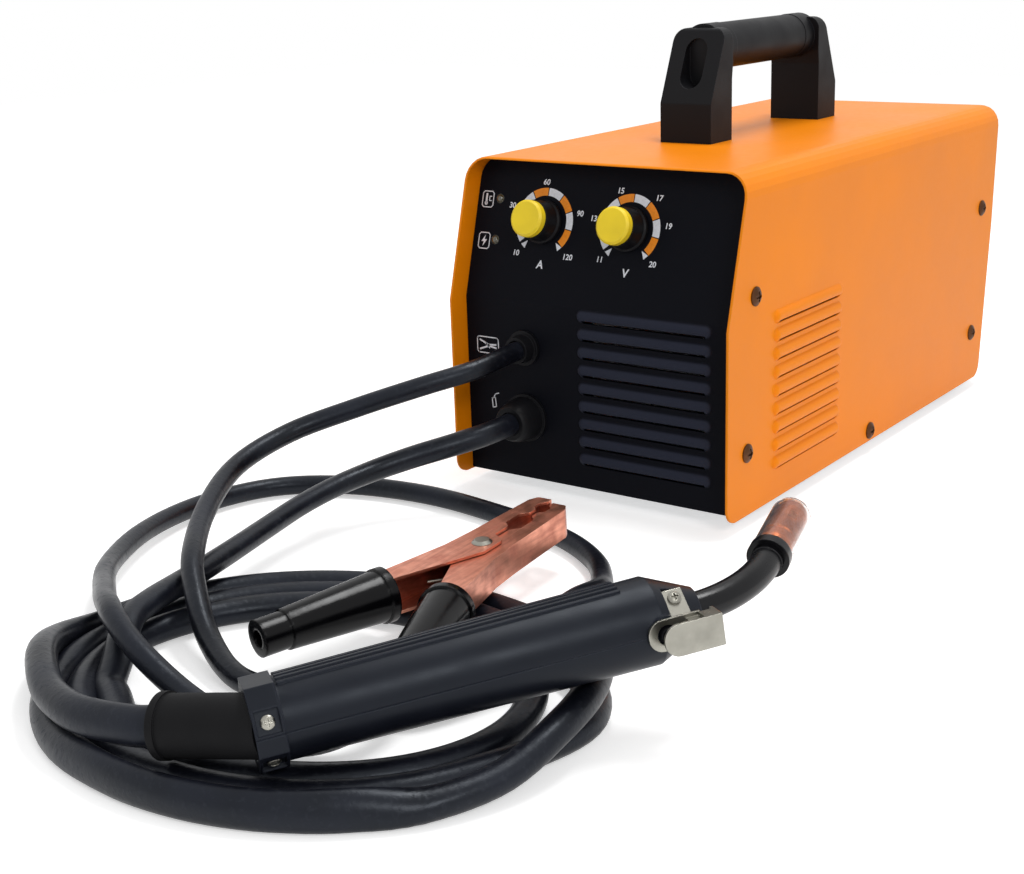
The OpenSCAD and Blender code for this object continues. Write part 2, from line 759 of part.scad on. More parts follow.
earth_route = [[-46.5, -165, 83.5], [-46.5, -184, 83], [-52, -211, 79], [-70, -234, 73], [-97, -256, 63],
    [-120, -284, 53], [-123, -321, 44.5], [-102, -363, 38], [-70, -403, 33.5], [-50, -421, 24],
    [-28, -435, 12], [0, -446, 6], [32.2, -444.3, 5.6], [60.7, -441.9, 5.5], [81.4, -429.9, 6.2], [92, -405, 9.6],
    [97, -372, 20.5], [97, -340, 24], [91, -311, 18], [77, -285, 9.5], [54, -256, 6], [20, -236, 5.8], [-30, -224, 5.8],
    [-82, -219, 5.8], [-132, -229, 5.8], [-166, -254, 5.8], [-178, -297, 6.5], [-166, -349, 9.5],
    [-133, -401, 14.5], [-88, -441, 24], [-64, -458.5, 29], [-49, -467, 28], [-29, -473, 21.5],
    [-6, -474, 11], [18, -476, 6], [42, -478.5, 5.8], [63, -475, 6.5], [76, -463, 10.5],
    [79, -447, 16.4], [73.9, -430.1, 18.5], [67, -411.4, 19.3]];

lead_route = [[-46.5, -183, 43.5], [-46.5, -194, 43.3], [-51, -208, 41.5], [-62, -223, 38], [-76, -238, 33.5],
    [-88, -256, 29], [-95, -279, 25.5], [-96, -306, 22.5], [-92, -333, 20.7], [-86, -359, 20],
    [-80, -384, 20], [-75, -408, 20], [-71, -427, 20], [-66, -444, 19.6], [-60.5, -453.2, 18.2],
    [-55, -461, 15.2], [-49, -469.5, 10.6]];

coil_at = [31, -434];
coil_a = 86.5;
coil_b = 70.3;
coil_tilt = 6;
coil_pitch = lead_d + 0.9;
coil_from = 220;
coil_to = 1300;
coil_rings = 24;
coil_tail = [[-30, -517.5, 20], [-5, -524.5, 21.5], [22.7, -523.3, 23.8], [35.9, -519.2, 25.6], [53, -513.8, 27.9]];

function hill(x) = abs(x) < 1 ? (1 + cos(180 * x)) / 2 : 0;
function rise(x) = let(c = min(1, max(0, x))) c * c * (3 - 2 * c);

// a spiral outwards: at the right the second turn slips under the third, and the end
// climbs onto the turn inside it
function coil_point(a) =
    let(over = hill((a - 1096) / 48), under = hill((a - 736) / 48), end = rise((a - 1255) / 45),
        out = coil_pitch * ((a - 180) / 360 + 1 - cos(90 * under) - 1 + cos(90 * end)),
        u = (coil_a + out) * cos(a), v = (coil_b + out) * sin(a))
    [coil_at.x + u * cos(coil_tilt) - v * sin(coil_tilt), coil_at.y + u * sin(coil_tilt) + v * cos(coil_tilt),
        lead_d / 2 + (lead_d + 0.6) * sin(90 * max(over, end))];

coil_turn = [for (a = [coil_from : 360 / coil_rings : coil_to]) coil_point(a)];
coil_start = coil_turn[0] - lead_d * unit(coil_turn[1] - coil_turn[0]);
coil_path = concat([coil_start], coil_turn, coil_tail);

// least distance between the skins of turns that lie half a loop or more apart
coil_skin = [for (i = [0 : len(coil_path) - 1]) ring(coil_path, i, lead_d, 6)];
coil_gap = min([for (i = [0 : len(coil_path) - 13], j = [i + 12 : len(coil_path) - 1])
    if (norm(coil_path[i] - coil_path[j]) < 2 * lead_d)
        min([for (a = coil_skin[i], b = coil_skin[j]) norm(a - b)])]);
echo(coil_least_gap = coil_gap);

module earth_lead() { color("#2a2b2e") tube(smooth(earth_route, 2), earth_d, 10); }
module torch_lead() { color("#232427") tube(concat(smooth(concat(lead_route, [coil_start]), 2)), lead_d, 10); }
module torch_lead_coil() { color("#232427") tube(coil_path, lead_d, 6); }

// ---- torch -------------------------------------------------------------------------

// local X runs along the handle from its rear end, the neck bends towards +Y,
// the trigger looks towards -Y and +Z is up
module on_torch() {
    translate(torch_tail) rotate([torch_roll, -torch_pitch, torch_yaw]) children();
}

module torch_handle_body() {
    translate([3, 0, 0]) rotate([0, 90, 0])
        cylinder(h = torch_len - torch_nose - 3, r1 = torch_rear_d / 2, r2 = torch_d / 2);
    translate([torch_len - torch_nose, 0, 0]) rotate([0, 90, 0])
        cylinder(h = torch_nose, r1 = torch_d / 2, r2 = neck_d / 2 + 2.6);
    rotate([0, 90, 0]) rotate(22.5) cylinder(h = 11, r = torch_rear_d / 2 + 2.1, $fn = 8);
}

// the button's housing behind the trigger
module button_boss() {
    on_trigger_here() translate([button_at, trigger_face() - 8, 0]) rotate([90, 0, 0])
        cylinder(h = trigger_face() - 8.2, r = 7);
}

module torch_bore() {
    difference() {
        disc_x(torch_wall + 2, torch_len - torch_nose - 8, torch_rear_d / 2 - torch_wall);
        for (x = [26, torch_len - 48]) disc_x(x, x + 3, torch_d);
    }
    disc_x(-1, 34, boot_d / 2 + 0.2);
    disc_x(torch_len - 40, torch_len + 1, neck_d / 2 + 0.4 + fit_gap / 2);
}

// screws: place along the handle, angle up from the trigger's side, radius of the seat
torch_screw_spots = [[5.5, 20, 15], [5.5, -50, 15], [torch_len - 11, 46, 12.6]];

module torch_screw_frame(p) { rotate([90 - p[1], 0, 0]) translate([p[0], 0, p[2]]) children(); }

module torch_shell(side) {
    on_torch() difference() {
        union() {
            torch_handle_body();
            button_boss();
            if (side > 0) for (i = [0 : 5]) rotate([-26 + 9 * i, 0, 0])
                translate([12, -0.6, torch_rear_d / 2 - 1.4]) rotate([0, -0.7, 0]) cube([torch_len - torch_nose - 24, 1.2, 2.4]);
        }
        torch_bore();
        boot_frame() disc_x(-boot_len, boot_grip + 0.2, boot_d / 2 + 0.2);
        translate([-5, -torch_d, side > 0 ? 0.05 - torch_d : 0]) cube([torch_len + 10, 2 * torch_d, torch_d]);
        for (p = torch_screw_spots) torch_screw_frame(p) {
            cylinder(h = 30, d = 3.1, center = true);
            translate([-4.5, p[0] > 20 ? -14 : -4.5, 0]) cube([9, p[0] > 20 ? 18.5 : 9, 12]);
        }
        on_trigger_here() translate([button_at, 8, 0]) rotate([90, 0, 0]) cylinder(h = 20, r = 3 + run_gap);
    }
}

module torch_shell_upper() { color("#1d1e21") torch_shell(1); }
module torch_shell_lower() { color("#1d1e21") torch_shell(-1); }

module torch_screws() {
    color("silver") on_torch() for (p = torch_screw_spots)
        torch_screw_frame(p + [0, 0, p[0] > 20 ? lever_sheet : 0]) pan_screw(2.8, 5.4, 1.8, p[0] > 20 ? 4 : 2.8);
}

// the boot swings away from the handle's line in the handle's rear end
module boot_place() { translate(torch_tail) rotate([0, -boot_pitch, boot_yaw]) children(); }

// the same frame seen from the handle
module boot_frame() {
    rotate([-torch_roll, 0, 0]) rotate([0, torch_pitch, 0]) rotate([0, 0, boot_yaw - torch_yaw])
        rotate([0, -boot_pitch, 0]) children();
}

module torch_boot() {
    color("#151517") boot_place() difference() {
        union() {
            disc_x(-boot_len, boot_grip, boot_d / 2);
            disc_x(-boot_len, -boot_len + 3, boot_d / 2 + 0.8);
        }
        disc_x(-boot_len - 1, boot_grip + 1, lead_d / 2 + lead_gap);
    }
}

// frame at the end of the neck's bend, X along the nozzle
module neck_end() {
    translate([neck_from, 0, 0]) rotate([neck_roll, 0, 0])
        translate([neck_r * sin(neck_bend), neck_r * (1 - cos(neck_bend)), 0]) rotate(neck_bend) children();
}

module torch_neck() {
    color("#1a1b1d") on_torch() {
        disc_x(torch_len - 36, neck_from + 0.5, neck_d / 2 + 0.4);
        translate([neck_from, 0, 0]) rotate([neck_roll, 0, 0]) translate([0, neck_r, 0]) rotate(-90)
            rotate_extrude(angle = neck_bend) translate([neck_r, 0]) circle(d = neck_d);
        neck_end() disc_x(-0.5, neck_out, neck_d / 2 + 0.3);
    }
}

module neck_ring() {
    color("#101011") on_torch() neck_end() difference() {
        disc_x(1.5, neck_out + 1.5, tip_cap_d / 2 + 0.5);
        disc_x(1, neck_out + 2, neck_d / 2 + 0.3);
    }
}

module nozzle() {
    r = nozzle_d / 2;
    color("#b87333") on_torch() neck_end() rotate([0, 90, 0]) rotate_extrude()
        polygon([[tip_base_r, neck_out], [neck_d / 2 + 0.3, neck_out], [neck_d / 2 + 0.3, 9], [r, 10.5],
            [r, 15], [r - 0.6, 15.6], [r - 0.6, 16.6], [r, 17.2], [r, nozzle_len - 5], [r - 1, nozzle_len],
            [r - nozzle_wall, nozzle_len], [r - nozzle_wall, 13], [tip_base_r, 13]]);
}

module contact_tip() {
    color("#c98a4b") on_torch() neck_end() difference() {
        union() {
            disc_x(neck_out, 17, tip_base_r);
            disc_x(16, nozzle_len - 4, 3);
        }
        disc_x(20, nozzle_len, 0.6);
    }
}

// the cap's end is a quarter round of radius 4.5 with a wall of 1.1
module nozzle_cap() {
    r = tip_cap_d / 2;
    q = nozzle_d / 2 + nozzle_cap_gap;
    last = nozzle_len + 2.6;
    color([0.9, 0.9, 0.9, 0.5]) on_torch() neck_end() rotate([0, 90, 0]) rotate_extrude()
        polygon(concat([[q, neck_out + 1.7], [r, neck_out + 1.7]],
            [for (a = [0 : 15 : 90]) [r - 4.5 + 4.5 * cos(a), last - 4.5 + 4.5 * sin(a)]], [[3, last], [3, last - 1.1]],
            [for (a = [90 : -15 : 0]) [q - 3.4 + 3.4 * cos(a), last - 4.5 + 3.4 * sin(a)]]));
}

// ---- trigger: local frame at its hinge, X along the handle, outward is -Y -----------

function trigger_face() = torch_d / 2 + 0.3;

module on_trigger_here() { translate([hinge_at, -trigger_face(), 0]) children(); }
module on_trigger() { on_torch() on_trigger_here() children(); }

// plate in X and Z with a round rear end, from y = 0 outwards by thickness t
module lever_plate(x_a, x_b, t) {
    r = trigger_w / 2 - 0.4;
    rotate([90, 0, 0]) linear_extrude(height = t)
        polygon(rounded([[x_a, -trigger_w / 2], [x_b, -trigger_w / 2], [x_b, trigger_w / 2], [x_a, trigger_w / 2]],
            [r, 0, 0, r]));
}

function pin_x() = -1.5;
function pin_y() = -trigger_gap / 2 - 0.4;

module trigger_bracket() {
    tab = torch_screw_spots[2];
    color("silver") {
        on_trigger() difference() {
            union() {
                lever_plate(-trigger_len, -3, lever_sheet);
                for (s = [-1, 1]) translate([-9, -trigger_gap + 1.6, s * (trigger_w / 2 - 2.2) - lever_sheet / 2])
                    cube([9, trigger_gap - 1.6, lever_sheet]);
                translate([pin_x(), pin_y(), -trigger_w / 2]) cylinder(h = trigger_w, r = 1);
            }
            translate([button_at, -5, 0]) rotate([-90, 0, 0]) cylinder(h = 10, r = 4);
        }
        on_torch() torch_screw_frame(tab) difference() {
            translate([-4, -13, 0.05]) cube([8, 17, lever_sheet - 0.05]);
            cylinder(h = 10, d = 3.1, center = true);
        }
    }
}

module trigger_lever() {
    color("lightgray") on_trigger() difference() {
        union() {
            translate([0, -trigger_gap, 0]) lever_plate(-trigger_len + lever_short, 2.6, lever_sheet);
            translate([1.4, -trigger_gap - lever_sheet, -trigger_w / 2]) cube([lever_sheet, trigger_gap + lever_sheet, trigger_w]);
            for (s = [-1, 1]) translate([-4, -trigger_gap - lever_sheet / 2, s * (trigger_w / 2 - 0.6) - 0.6])
                cube([6, trigger_gap - 1.4, lever_sheet]);
        }
        translate([pin_x(), pin_y(), -trigger_w]) cylinder(h = 2 * trigger_w, r = 1 + run_gap);
    }
}

module trigger_button() {
    color("#0f0f10") on_trigger() translate([button_at, 0, 0]) {
        rotate([90, 0, 0]) cylinder(h = trigger_gap - button_gap, r = 1.8);
        translate([0, 5, 0]) rotate([90, 0, 0]) cylinder(h = 8, r = 3);
    }
}

// ---- earth clamp: local X from the rivet to the jaws' tips, Z along the rivet ---------

module on_clamp() { translate(clamp_at) rotate([0, -clamp_pitch, clamp_yaw]) children(); }

// one pressed jaw, opening on its -Y side, whose grip runs back at grip_spread
module jaw(half) {
    back = boot_from + 8;
    turn = [cos(grip_spread), -sin(grip_spread)];
    side = [sin(grip_spread), cos(grip_spread)];
    straight = boot_from - 3;
    outline = rounded([[jaw_len, 0.4], [jaw_len, 8], [jaw_len - 5, 10.5], [8, 12.5], [-10, 14],
        -straight * turn + arm_w / 2 * side, -back * turn + arm_w / 2 * side, -back * turn - arm_w / 2 * side,
        -straight * turn - arm_w / 2 * side, [-8, -7], [7, -7], [11, 0.4], [22, 0.4],
        [25.5, 4.2], [37, 4.2], [41, 0.4], [46, 0.4], [48.5, 3.2], [53.5, 3.2], [56.5, 0.4]],
        [0, 2, 4, 12, 10, 0, 0, 0, 0, 4, 4, 1, 1, 2, 2, 1, 1, 1.2, 1.2, 1]);
    difference() {
        linear_extrude(height = 2 * half, center = true) polygon(outline);
        linear_extrude(height = 2 * (half - jaw_sheet), center = true) polygon([[jaw_len - jaw_sheet, -12],
            [jaw_len - jaw_sheet, 7.2], [jaw_len - 5.8, 10.5 - jaw_sheet], [7, 12.5 - jaw_sheet], [-10.5, 14 - jaw_sheet],
            -straight * turn + (arm_w / 2 - jaw_sheet) * side, -(back + 1) * turn + (arm_w / 2 - jaw_sheet) * side,
            -(back + 1) * turn - 9 * side, [-8, -12]]);
        cylinder(h = 3 * jaw_w, d = rivet_d + 2 * run_gap, center = true);
    }
}

inner_half = jaw_w / 2 - jaw_sheet - jaw_gap;

module clamp_jaw_fixed() { color("#c07a55") on_clamp() mirror([0, 1, 0]) jaw(inner_half); }
module clamp_jaw_moving() { color("#c07a55") on_clamp() jaw(jaw_w / 2); }

module clamp_rivet() {
    color("silver") on_clamp() {
        cylinder(h = jaw_w + 0.4, d = rivet_d, center = true);
        for (s = [0, 1]) mirror([0, 0, s]) translate([0, 0, jaw_w / 2 + 0.1]) cylinder(h = 1.4, d1 = rivet_d + 4, d2 = rivet_d + 1);
    }
}

spring_r = 5.2;
spring_wire = 1.7;
spring_half = 4.4;
spring_from = 228.1;
spring_step = 44.79;

// the spring's turns round the rivet, with a straight leg into each grip
spring_path = concat([[-24.4, 14.7, -spring_half]],
    [for (i = [0 : 30]) [spring_r * cos(spring_from + spring_step * i), spring_r * sin(spring_from + spring_step * i),
        spring_half * (i / 15 - 1)]],
    [[-24.4, -14.7, spring_half]]);

module clamp_spring() { color("silver") on_clamp() tube(spring_path, spring_wire, 6); }

// vinyl boot over a grip's end
module clamp_boot(bore, half) {
    rotate(180 - grip_spread) rotate([0, 90, 0]) difference() {
        union() {
            translate([0, 0, boot_from]) cylinder(h = 4, r = clamp_boot_r + 0.8);
            translate([0, 0, boot_from + 3]) cylinder(h = grip_len - boot_from - 16, r1 = clamp_boot_r, r2 = clamp_boot_r - 2.8);
            translate([0, 0, grip_len - 14]) cylinder(h = 14, r = clamp_boot_r - 3.6);
        }
        translate([-half - grip_clear, -arm_w / 2 - grip_clear, boot_from - 1])
            cube([2 * half + 2 * grip_clear, arm_w + 2 * grip_clear, 9.6]);
        translate([0, 0, boot_from]) cylinder(h = grip_len, d = bore);
    }
}

module clamp_boot_moving() { color("#0e0e10") on_clamp() clamp_boot(8, jaw_w / 2); }
module clamp_boot_fixed() { color("#0e0e10") on_clamp() mirror([0, 1, 0]) clamp_boot(earth_d + 2 * lead_gap, inner_half); }

// ---- rear: fan and switch --------------------------------------------------------------

module on_fan() { translate([fan_x, fan_y, fan_z]) rotate([-90, 0, 0]) children(); }

module fan_frame() {
    color("#222326") on_fan() difference() {
        union() {
            difference() {
                translate([-fan_size / 2, -fan_size / 2, 0]) cube([fan_size, fan_size, fan_t]);
                translate([0, 0, -1]) cylinder(h = fan_t + 2, r = fan_size / 2 - 2);
            }
            cylinder(h = 3, r = 17);
            for (a = [45 : 90 : 315]) rotate(a) translate([0, -2, 0]) cube([fan_size / 2, 4, 3]);
        }
        for (sx = [-1, 1], sy = [-1, 1]) translate([sx * (fan_size / 2 - 4), sy * (fan_size / 2 - 4), -1])
            cylinder(h = fan_t + 2, d = 4.3);
        translate([0, 0, 1]) cylinder(h = 4, r = 1.5 + run_gap);
    }
}

module fan_rotor() {
    color("#2c2d31") on_fan() {
        translate([0, 0, 3.5]) cylinder(h = fan_t - 6, r = 16);
        translate([0, 0, 1.2]) cylinder(h = 3, r = 1.5);
        for (a = [0 : 360 / 7 : 359]) rotate(a) translate([14, -1, 12]) rotate([38, 0, 0])
            cube([fan_size / 2 - 18, 2, 13], center = false);
    }
}

module switch_place() { translate([-gland_x - 4, rear_panel_y, foot_h + 124]) children(); }

module switch_body() {
    color("#151517") switch_place() difference() {
        union() {
            translate([-switch_w / 2 - 1, 0, -switch_h / 2 - 1]) cube([switch_w + 2, 2.2, switch_h + 2]);
            translate([-switch_w / 2 + 1.2, -20, -switch_h / 2 + 1.2]) cube([switch_w - 2.4, 20.1, switch_h - 2.4]);
        }
        translate([-switch_w / 2 + 3, -10, -switch_h / 2 + 3]) cube([switch_w - 6, 20, switch_h - 6]);
    }
    color("#151517") switch_place() translate([0, rocker_y, 0]) disc_x(-switch_w / 2 + 2.5, switch_w / 2 - 2.5, rocker_pin_r);
}

// seen from the side the rocker is a shallow V that turns about its pin
module switch_rocker() {
    w = switch_w - 6 - 2 * rocker_gap;
    h = switch_h / 2 - 3 - rocker_gap - 1;
    color("#8f1d1a") switch_place() translate([0, rocker_y, 0]) rotate([-rocker_tilt, 0, 0]) difference() {
        along_x(w) polygon([[-2.4, -3], [3.6, -h + 0.4], [7, -h], [5.2, 0], [7, h], [3.6, h - 0.4], [-2.4, 3]]);
        disc_x(-w, w, rocker_pin_r + run_gap);
    }
}

// ---- electronics --------------------------------------------------------------------------

module power_board() {
    color("darkgreen") translate([half_w - board_in, front_y + board_behind, foot_h + tray_t + board_foot_out]) {
        cube([board_w, board_len, board_t]);
        for (x = [board_foot_in, board_w - board_foot_in], y = [board_foot_out, board_len - board_foot_out])
            translate([x, y, -board_foot_out]) cylinder(h = board_foot_out, r = 3);
        for (x = [14.5, 41.5]) translate([x, 22, board_t]) cylinder(h = 45, r = 12.5);
        for (x = [2, 32]) for (i = [0 : 4]) translate([x + 5 * i, 50, board_t]) cube([2, 55, 40]);
        for (x = [2, 32]) translate([x, 50, board_t]) cube([22, 55, 6]);
    }
}

module on_transformer() { translate([fan_x, spool_y, foot_h + tray_t]) children(); }

module transformer_core() {
    color("#3b3c40") on_transformer() difference() {
        translate([-30, -20, 0]) cube([60, 40, 62]);
        for (s = [-1, 1]) translate([s * 15 - 8, -21, 12]) cube([16, 42, 38]);
    }
}

module transformer_winding() {
    color("#9c5a2c") on_transformer() translate([0, 0, 31]) difference() {
        cube([29, 58, 36], center = true);
        cube([14.6, 40.6, 60], center = true);
    }
}

// ---- wire feed -------------------------------------------------------------------------------

module on_spool() { translate([spool_x, spool_y, spool_z]) children(); }

module wire_spool() {
    color("#15161a") on_spool() difference() {
        union() {
            for (s = [-1, 1]) translate([s * (spool_w / 2 - 1.5), 0, 0]) disc_x(-1.5, 1.5, spool_d / 2);
            disc_x(-spool_w / 2, spool_w / 2, 26);
        }
        disc_x(-spool_w, spool_w, spool_bore / 2 + run_gap);
        for (a = [0 : 60 : 300]) rotate([a, 0, 0]) translate([0, 38, 0]) disc_x(spool_w / 2 - 4, spool_w, 5);
    }
}

module wire_winding() {
    color("#9a9a9e") on_spool() difference() {
        disc_x(-spool_w / 2 + 3.05, spool_w / 2 - 3.05, spool_d / 2 - 8);
        disc_x(-spool_w, spool_w, 26.05);
    }
}

module spool_hub() {
    color("#c9c9cc") on_spool() {
        disc_x(-spool_w / 2 - 4, spool_w / 2 + 7 - 0.3, spool_bore / 2);
        disc_x(spool_w / 2 + 0.4, spool_w / 2 + 7 - 0.3, 15);
        translate([-spool_w / 2 - 4, 0, 0]) rotate([0, 90, 0]) cylinder(h = 3.6, r = 13, $fn = 6);
        disc_x(spool_w / 2 + 6, spool_w / 2 + 14, 4);
    }
}

function roller_z() = wire_z + 0.1 - roller_d / 2;
function press_z() = wire_z + 0.1 + nip_gap + press_d / 2;

module feed_block() {
    x_a = -divider_x - 14;
    color("#2a2b2f") difference() {
        union() {
            translate([x_a, -feed_y - 44, foot_h + 12]) cube([13.7, 78, 62]);
            for (y = [-feed_y - 42, -feed_y + 22]) translate([roller_x - 6, y, wire_z - 7])
                cube([-roller_x + x_a + 7, 10, 14]);
            translate([0, -feed_y - 24, press_z() + 14]) disc_x(roller_x - roller_w / 2 - 5, x_a + 1, 4);
        }
        for (y = [-feed_y - 50, -feed_y + 20]) translate([roller_x, y, wire_z]) rotate([-90, 0, 0])
            cylinder(h = 26, r = 1.6);
        translate([x_a, -feed_y, roller_z()]) disc_x(-2, 20, 5.6);
    }
}

module feed_motor() {
    color("#6d7076") translate([-divider_x, -feed_y, roller_z()]) {
        disc_x(sheet + 0.1, 32, 15.5);
        disc_x(32, 40, 6);
        disc_x(-5, sheet + 0.2, 5.4);
    }
}

module drive_roller() {
    color("#caa53d") translate([roller_x, -feed_y, roller_z()]) {
        difference() {
            disc_x(-roller_w / 2, roller_w / 2, roller_d / 2);
            rotate([0, 90, 0]) rotate_extrude() translate([roller_d / 2, 0]) circle(r = 0.8);
        }
        disc_x(roller_w / 2 - 0.1, -roller_x - divider_x - 5.3, 4);
        disc_x(-roller_w / 2 - 4, -roller_w / 2 + 0.1, 6);
    }
}

module pressure_arm() {
    z = press_z() + 14;
    color("#b3302a") difference() {
        union() {
            for (x = [roller_x - roller_w / 2 - 4, roller_x + roller_w / 2 + 1])
                translate([x, 0, 0]) rotate([90, 0, 90]) linear_extrude(height = 3)
                    polygon(rounded([[-feed_y - 31, z - 7], [-feed_y + 7, press_z() - 7], [-feed_y + 28, z + 4],
                        [-feed_y + 28, z + 10], [-feed_y - 31, z + 7]], [5, 5, 2, 2, 5]));
            translate([roller_x - roller_w / 2 - 4, -feed_y + 16, z + 2]) cube([roller_w + 8, 12, 5]);
            translate([roller_x, -feed_y + 22, z + 6]) cylinder(h = 16, r = 7.5);
        }
        translate([roller_x - 20, -feed_y - 24, z]) disc_x(0, 40, 4 + run_gap);
        translate([roller_x - 20, -feed_y, press_z()]) disc_x(0, 40, 3 + run_gap);
    }
}

module pressure_roller() {
    color("#d0d0d4") translate([roller_x, -feed_y, press_z()]) {
        disc_x(-roller_w / 2, roller_w / 2, press_d / 2);
        disc_x(-roller_w / 2 - 4, roller_w / 2 + 4, 3);
    }
}

cover();
base_tray();
front_panel();
rear_panel();
divider();
side_door();
door_hinges();
door_latch();
feet();
cover_screws();
handle_front_leg();
handle_rear_leg();
handle_grip();
handle_screws();
current_knob();
current_cap();
voltage_knob();
voltage_cap();
potentiometers();
indicator_lamps();
earth_gland();
torch_gland();
mains_gland();
earth_lead();
torch_lead();
torch_lead_coil();
clamp_jaw_fixed();
clamp_jaw_moving();
clamp_rivet();
clamp_spring();
clamp_boot_fixed();
clamp_boot_moving();
torch_shell_upper();
torch_shell_lower();
torch_screws();
torch_boot();
torch_neck();
neck_ring();
nozzle();
contact_tip();
nozzle_cap();
trigger_bracket();
trigger_lever();
trigger_button();
fan_frame();
fan_rotor();
switch_body();
switch_rocker();
power_board();
transformer_core();
transformer_winding();
wire_spool();
wire_winding();
spool_hub();
feed_block();
feed_motor();
drive_roller();
pressure_arm();
pressure_roller();
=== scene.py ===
# %% [markdown]
# # A small wire-feed welding machine
#
# The machine is a folded steel case with a black panel, a carrying handle and two
# leads: one ends in an earth clamp, the other in a torch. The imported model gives
# every rigid part in metres. This lesson adds what a solid model cannot carry: the
# finish of each surface, the soft leads, the spring and the print on the panel.

import json
import math

import bmesh
import bpy
from mathutils import Matrix, Vector, noise


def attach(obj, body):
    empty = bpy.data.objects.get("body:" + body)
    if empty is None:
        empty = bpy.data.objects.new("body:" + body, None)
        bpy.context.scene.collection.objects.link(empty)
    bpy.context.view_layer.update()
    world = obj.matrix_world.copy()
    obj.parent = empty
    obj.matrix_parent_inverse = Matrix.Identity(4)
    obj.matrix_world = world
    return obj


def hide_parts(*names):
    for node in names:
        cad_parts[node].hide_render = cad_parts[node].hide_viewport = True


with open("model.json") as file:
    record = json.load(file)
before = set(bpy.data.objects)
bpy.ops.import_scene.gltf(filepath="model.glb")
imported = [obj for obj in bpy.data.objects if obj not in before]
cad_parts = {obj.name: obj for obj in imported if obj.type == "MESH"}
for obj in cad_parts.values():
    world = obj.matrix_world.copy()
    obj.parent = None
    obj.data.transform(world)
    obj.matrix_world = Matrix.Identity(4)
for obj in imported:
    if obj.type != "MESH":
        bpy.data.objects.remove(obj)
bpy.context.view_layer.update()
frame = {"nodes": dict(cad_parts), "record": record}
nodes = frame["nodes"]
MM = 0.001

# %% [markdown]
# ## Camera
# The machine is shown from a little above and to the right of its panel. The camera
# is set from three angles and a place, so that each of them can be changed on its
# own. Its matrix is built from the three directions right, up and back. A camera, like
# a mesh or a lamp, is data that an object has to carry into the scene, and one helper
# does that for all of them.

# %% Bring data into the scene
def into_scene(name, data):
    """An object called name that carries data, linked into the scene."""
    made = bpy.data.objects.new(name, data)
    bpy.context.collection.objects.link(made)
    return made


# %% Set up the camera
SENSOR_WIDTH = 36.0      # millimetres
NEAR, FAR = 0.01, 100.0  # metres


def point_camera(place, azimuth, down, roll, lens):
    """A camera at place that looks along azimuth and down, in degrees."""
    a, d, r = map(math.radians, (azimuth, down, roll))
    ahead = Vector((-math.sin(a) * math.cos(d), math.cos(a) * math.cos(d), -math.sin(d)))
    level = Vector((math.cos(a), math.sin(a), 0))
    over = level.cross(ahead)
    right = math.cos(r) * level + math.sin(r) * over
    above = math.cos(r) * over - math.sin(r) * level
    data = bpy.data.cameras.new("camera")
    data.sensor_width, data.lens = SENSOR_WIDTH, lens
    data.clip_start, data.clip_end = NEAR, FAR
    camera = into_scene("camera", data)
    turn = Matrix((right, above, -ahead)).transposed().to_4x4()
    camera.matrix_world = Matrix.Translation(place) @ turn
    return camera


scene = bpy.context.scene
scene.camera = point_camera(Vector((464.69, -877.63, 297.47)) * MM,
                            azimuth=36.4316, down=16.9145, roll=-1.8906, lens=57.07)
scene.view_settings.view_transform = "Standard"
print("camera", [round(v, 3) for v in scene.camera.location])

# %% [markdown]
# ## Leads
# Each lead has one fixed length and lies on the floor under its own weight. A cloth or
# rope simulation could lay it out, but would come to rest a little differently in each
# version. A smooth curve through a few points stays as it is and can be mended point
# by point, so each lead starts as such a line, in millimetres.

# %% A smooth line through points
def smooth(points, steps):
    """Catmull-Rom curve through points, with steps from each one to the next."""
    line, last = [], len(points) - 1
    for i in range(last):
        a, b, c, d = (points[j] for j in (max(i - 1, 0), i, i + 1, min(i + 2, last)))
        for k in range(steps):
            t = k / steps
            line.append(0.5 * (2 * b + (c - a) * t + (2 * a - 5 * b + 4 * c - d) * t * t
                               + (3 * b - a - 3 * c + d) * t ** 3))
    return line + [points[-1]]


def in_metres(route):
    """Points in millimetres as vectors in metres."""
    return [Vector(p) * MM for p in route]


def length_of(line):
    """Length of a line from point to point."""
    return sum((b - a).length for a, b in zip(line, line[1:]))


bend = smooth(in_metres([(0, 0, 0), (60, 0, 0), (60, 60, 0)]), steps=4)
print("a bend of", len(bend), "points is", round(length_of(bend), 3), "m long")

# %% The earth lead's line
EARTH_D = 10.6 * MM
earth_route = in_metres([
    (-46.5, -165, 83.5), (-46.5, -184, 83), (-52, -211, 79), (-70, -234, 73), (-97, -256, 63),
    (-120, -284, 53), (-123, -321, 44.5), (-102, -363, 38), (-70, -403, 33.5), (-50, -421, 24),
    (-28, -435, 12), (0, -446, 6), (32.2, -444.3, 5.6), (60.7, -441.9, 5.5), (81.4, -429.9, 6.2),
    (92, -405, 9.6), (97, -372, 20.5), (97, -340, 24), (91, -311, 18), (77, -285, 9.5),
    (54, -256, 6), (20, -236, 5.8), (-30, -224, 5.8), (-82, -219, 5.8), (-132, -229, 5.8),
    (-166, -254, 5.8), (-178, -297, 6.5), (-166, -349, 9.5), (-133, -401, 14.5), (-88, -441, 24),
    (-64, -458.5, 29), (-49, -467, 28), (-29, -473, 21.5), (-6, -474, 11), (18, -476, 6),
    (42, -478.5, 5.8), (63, -475, 6.5), (76, -463, 10.5), (79, -447, 16.4), (73.9, -430.1, 18.5),
    (67, -411.4, 19.3)])
earth_line = smooth(earth_route, 6)
print("earth lead", round(length_of(earth_line), 3), "m")

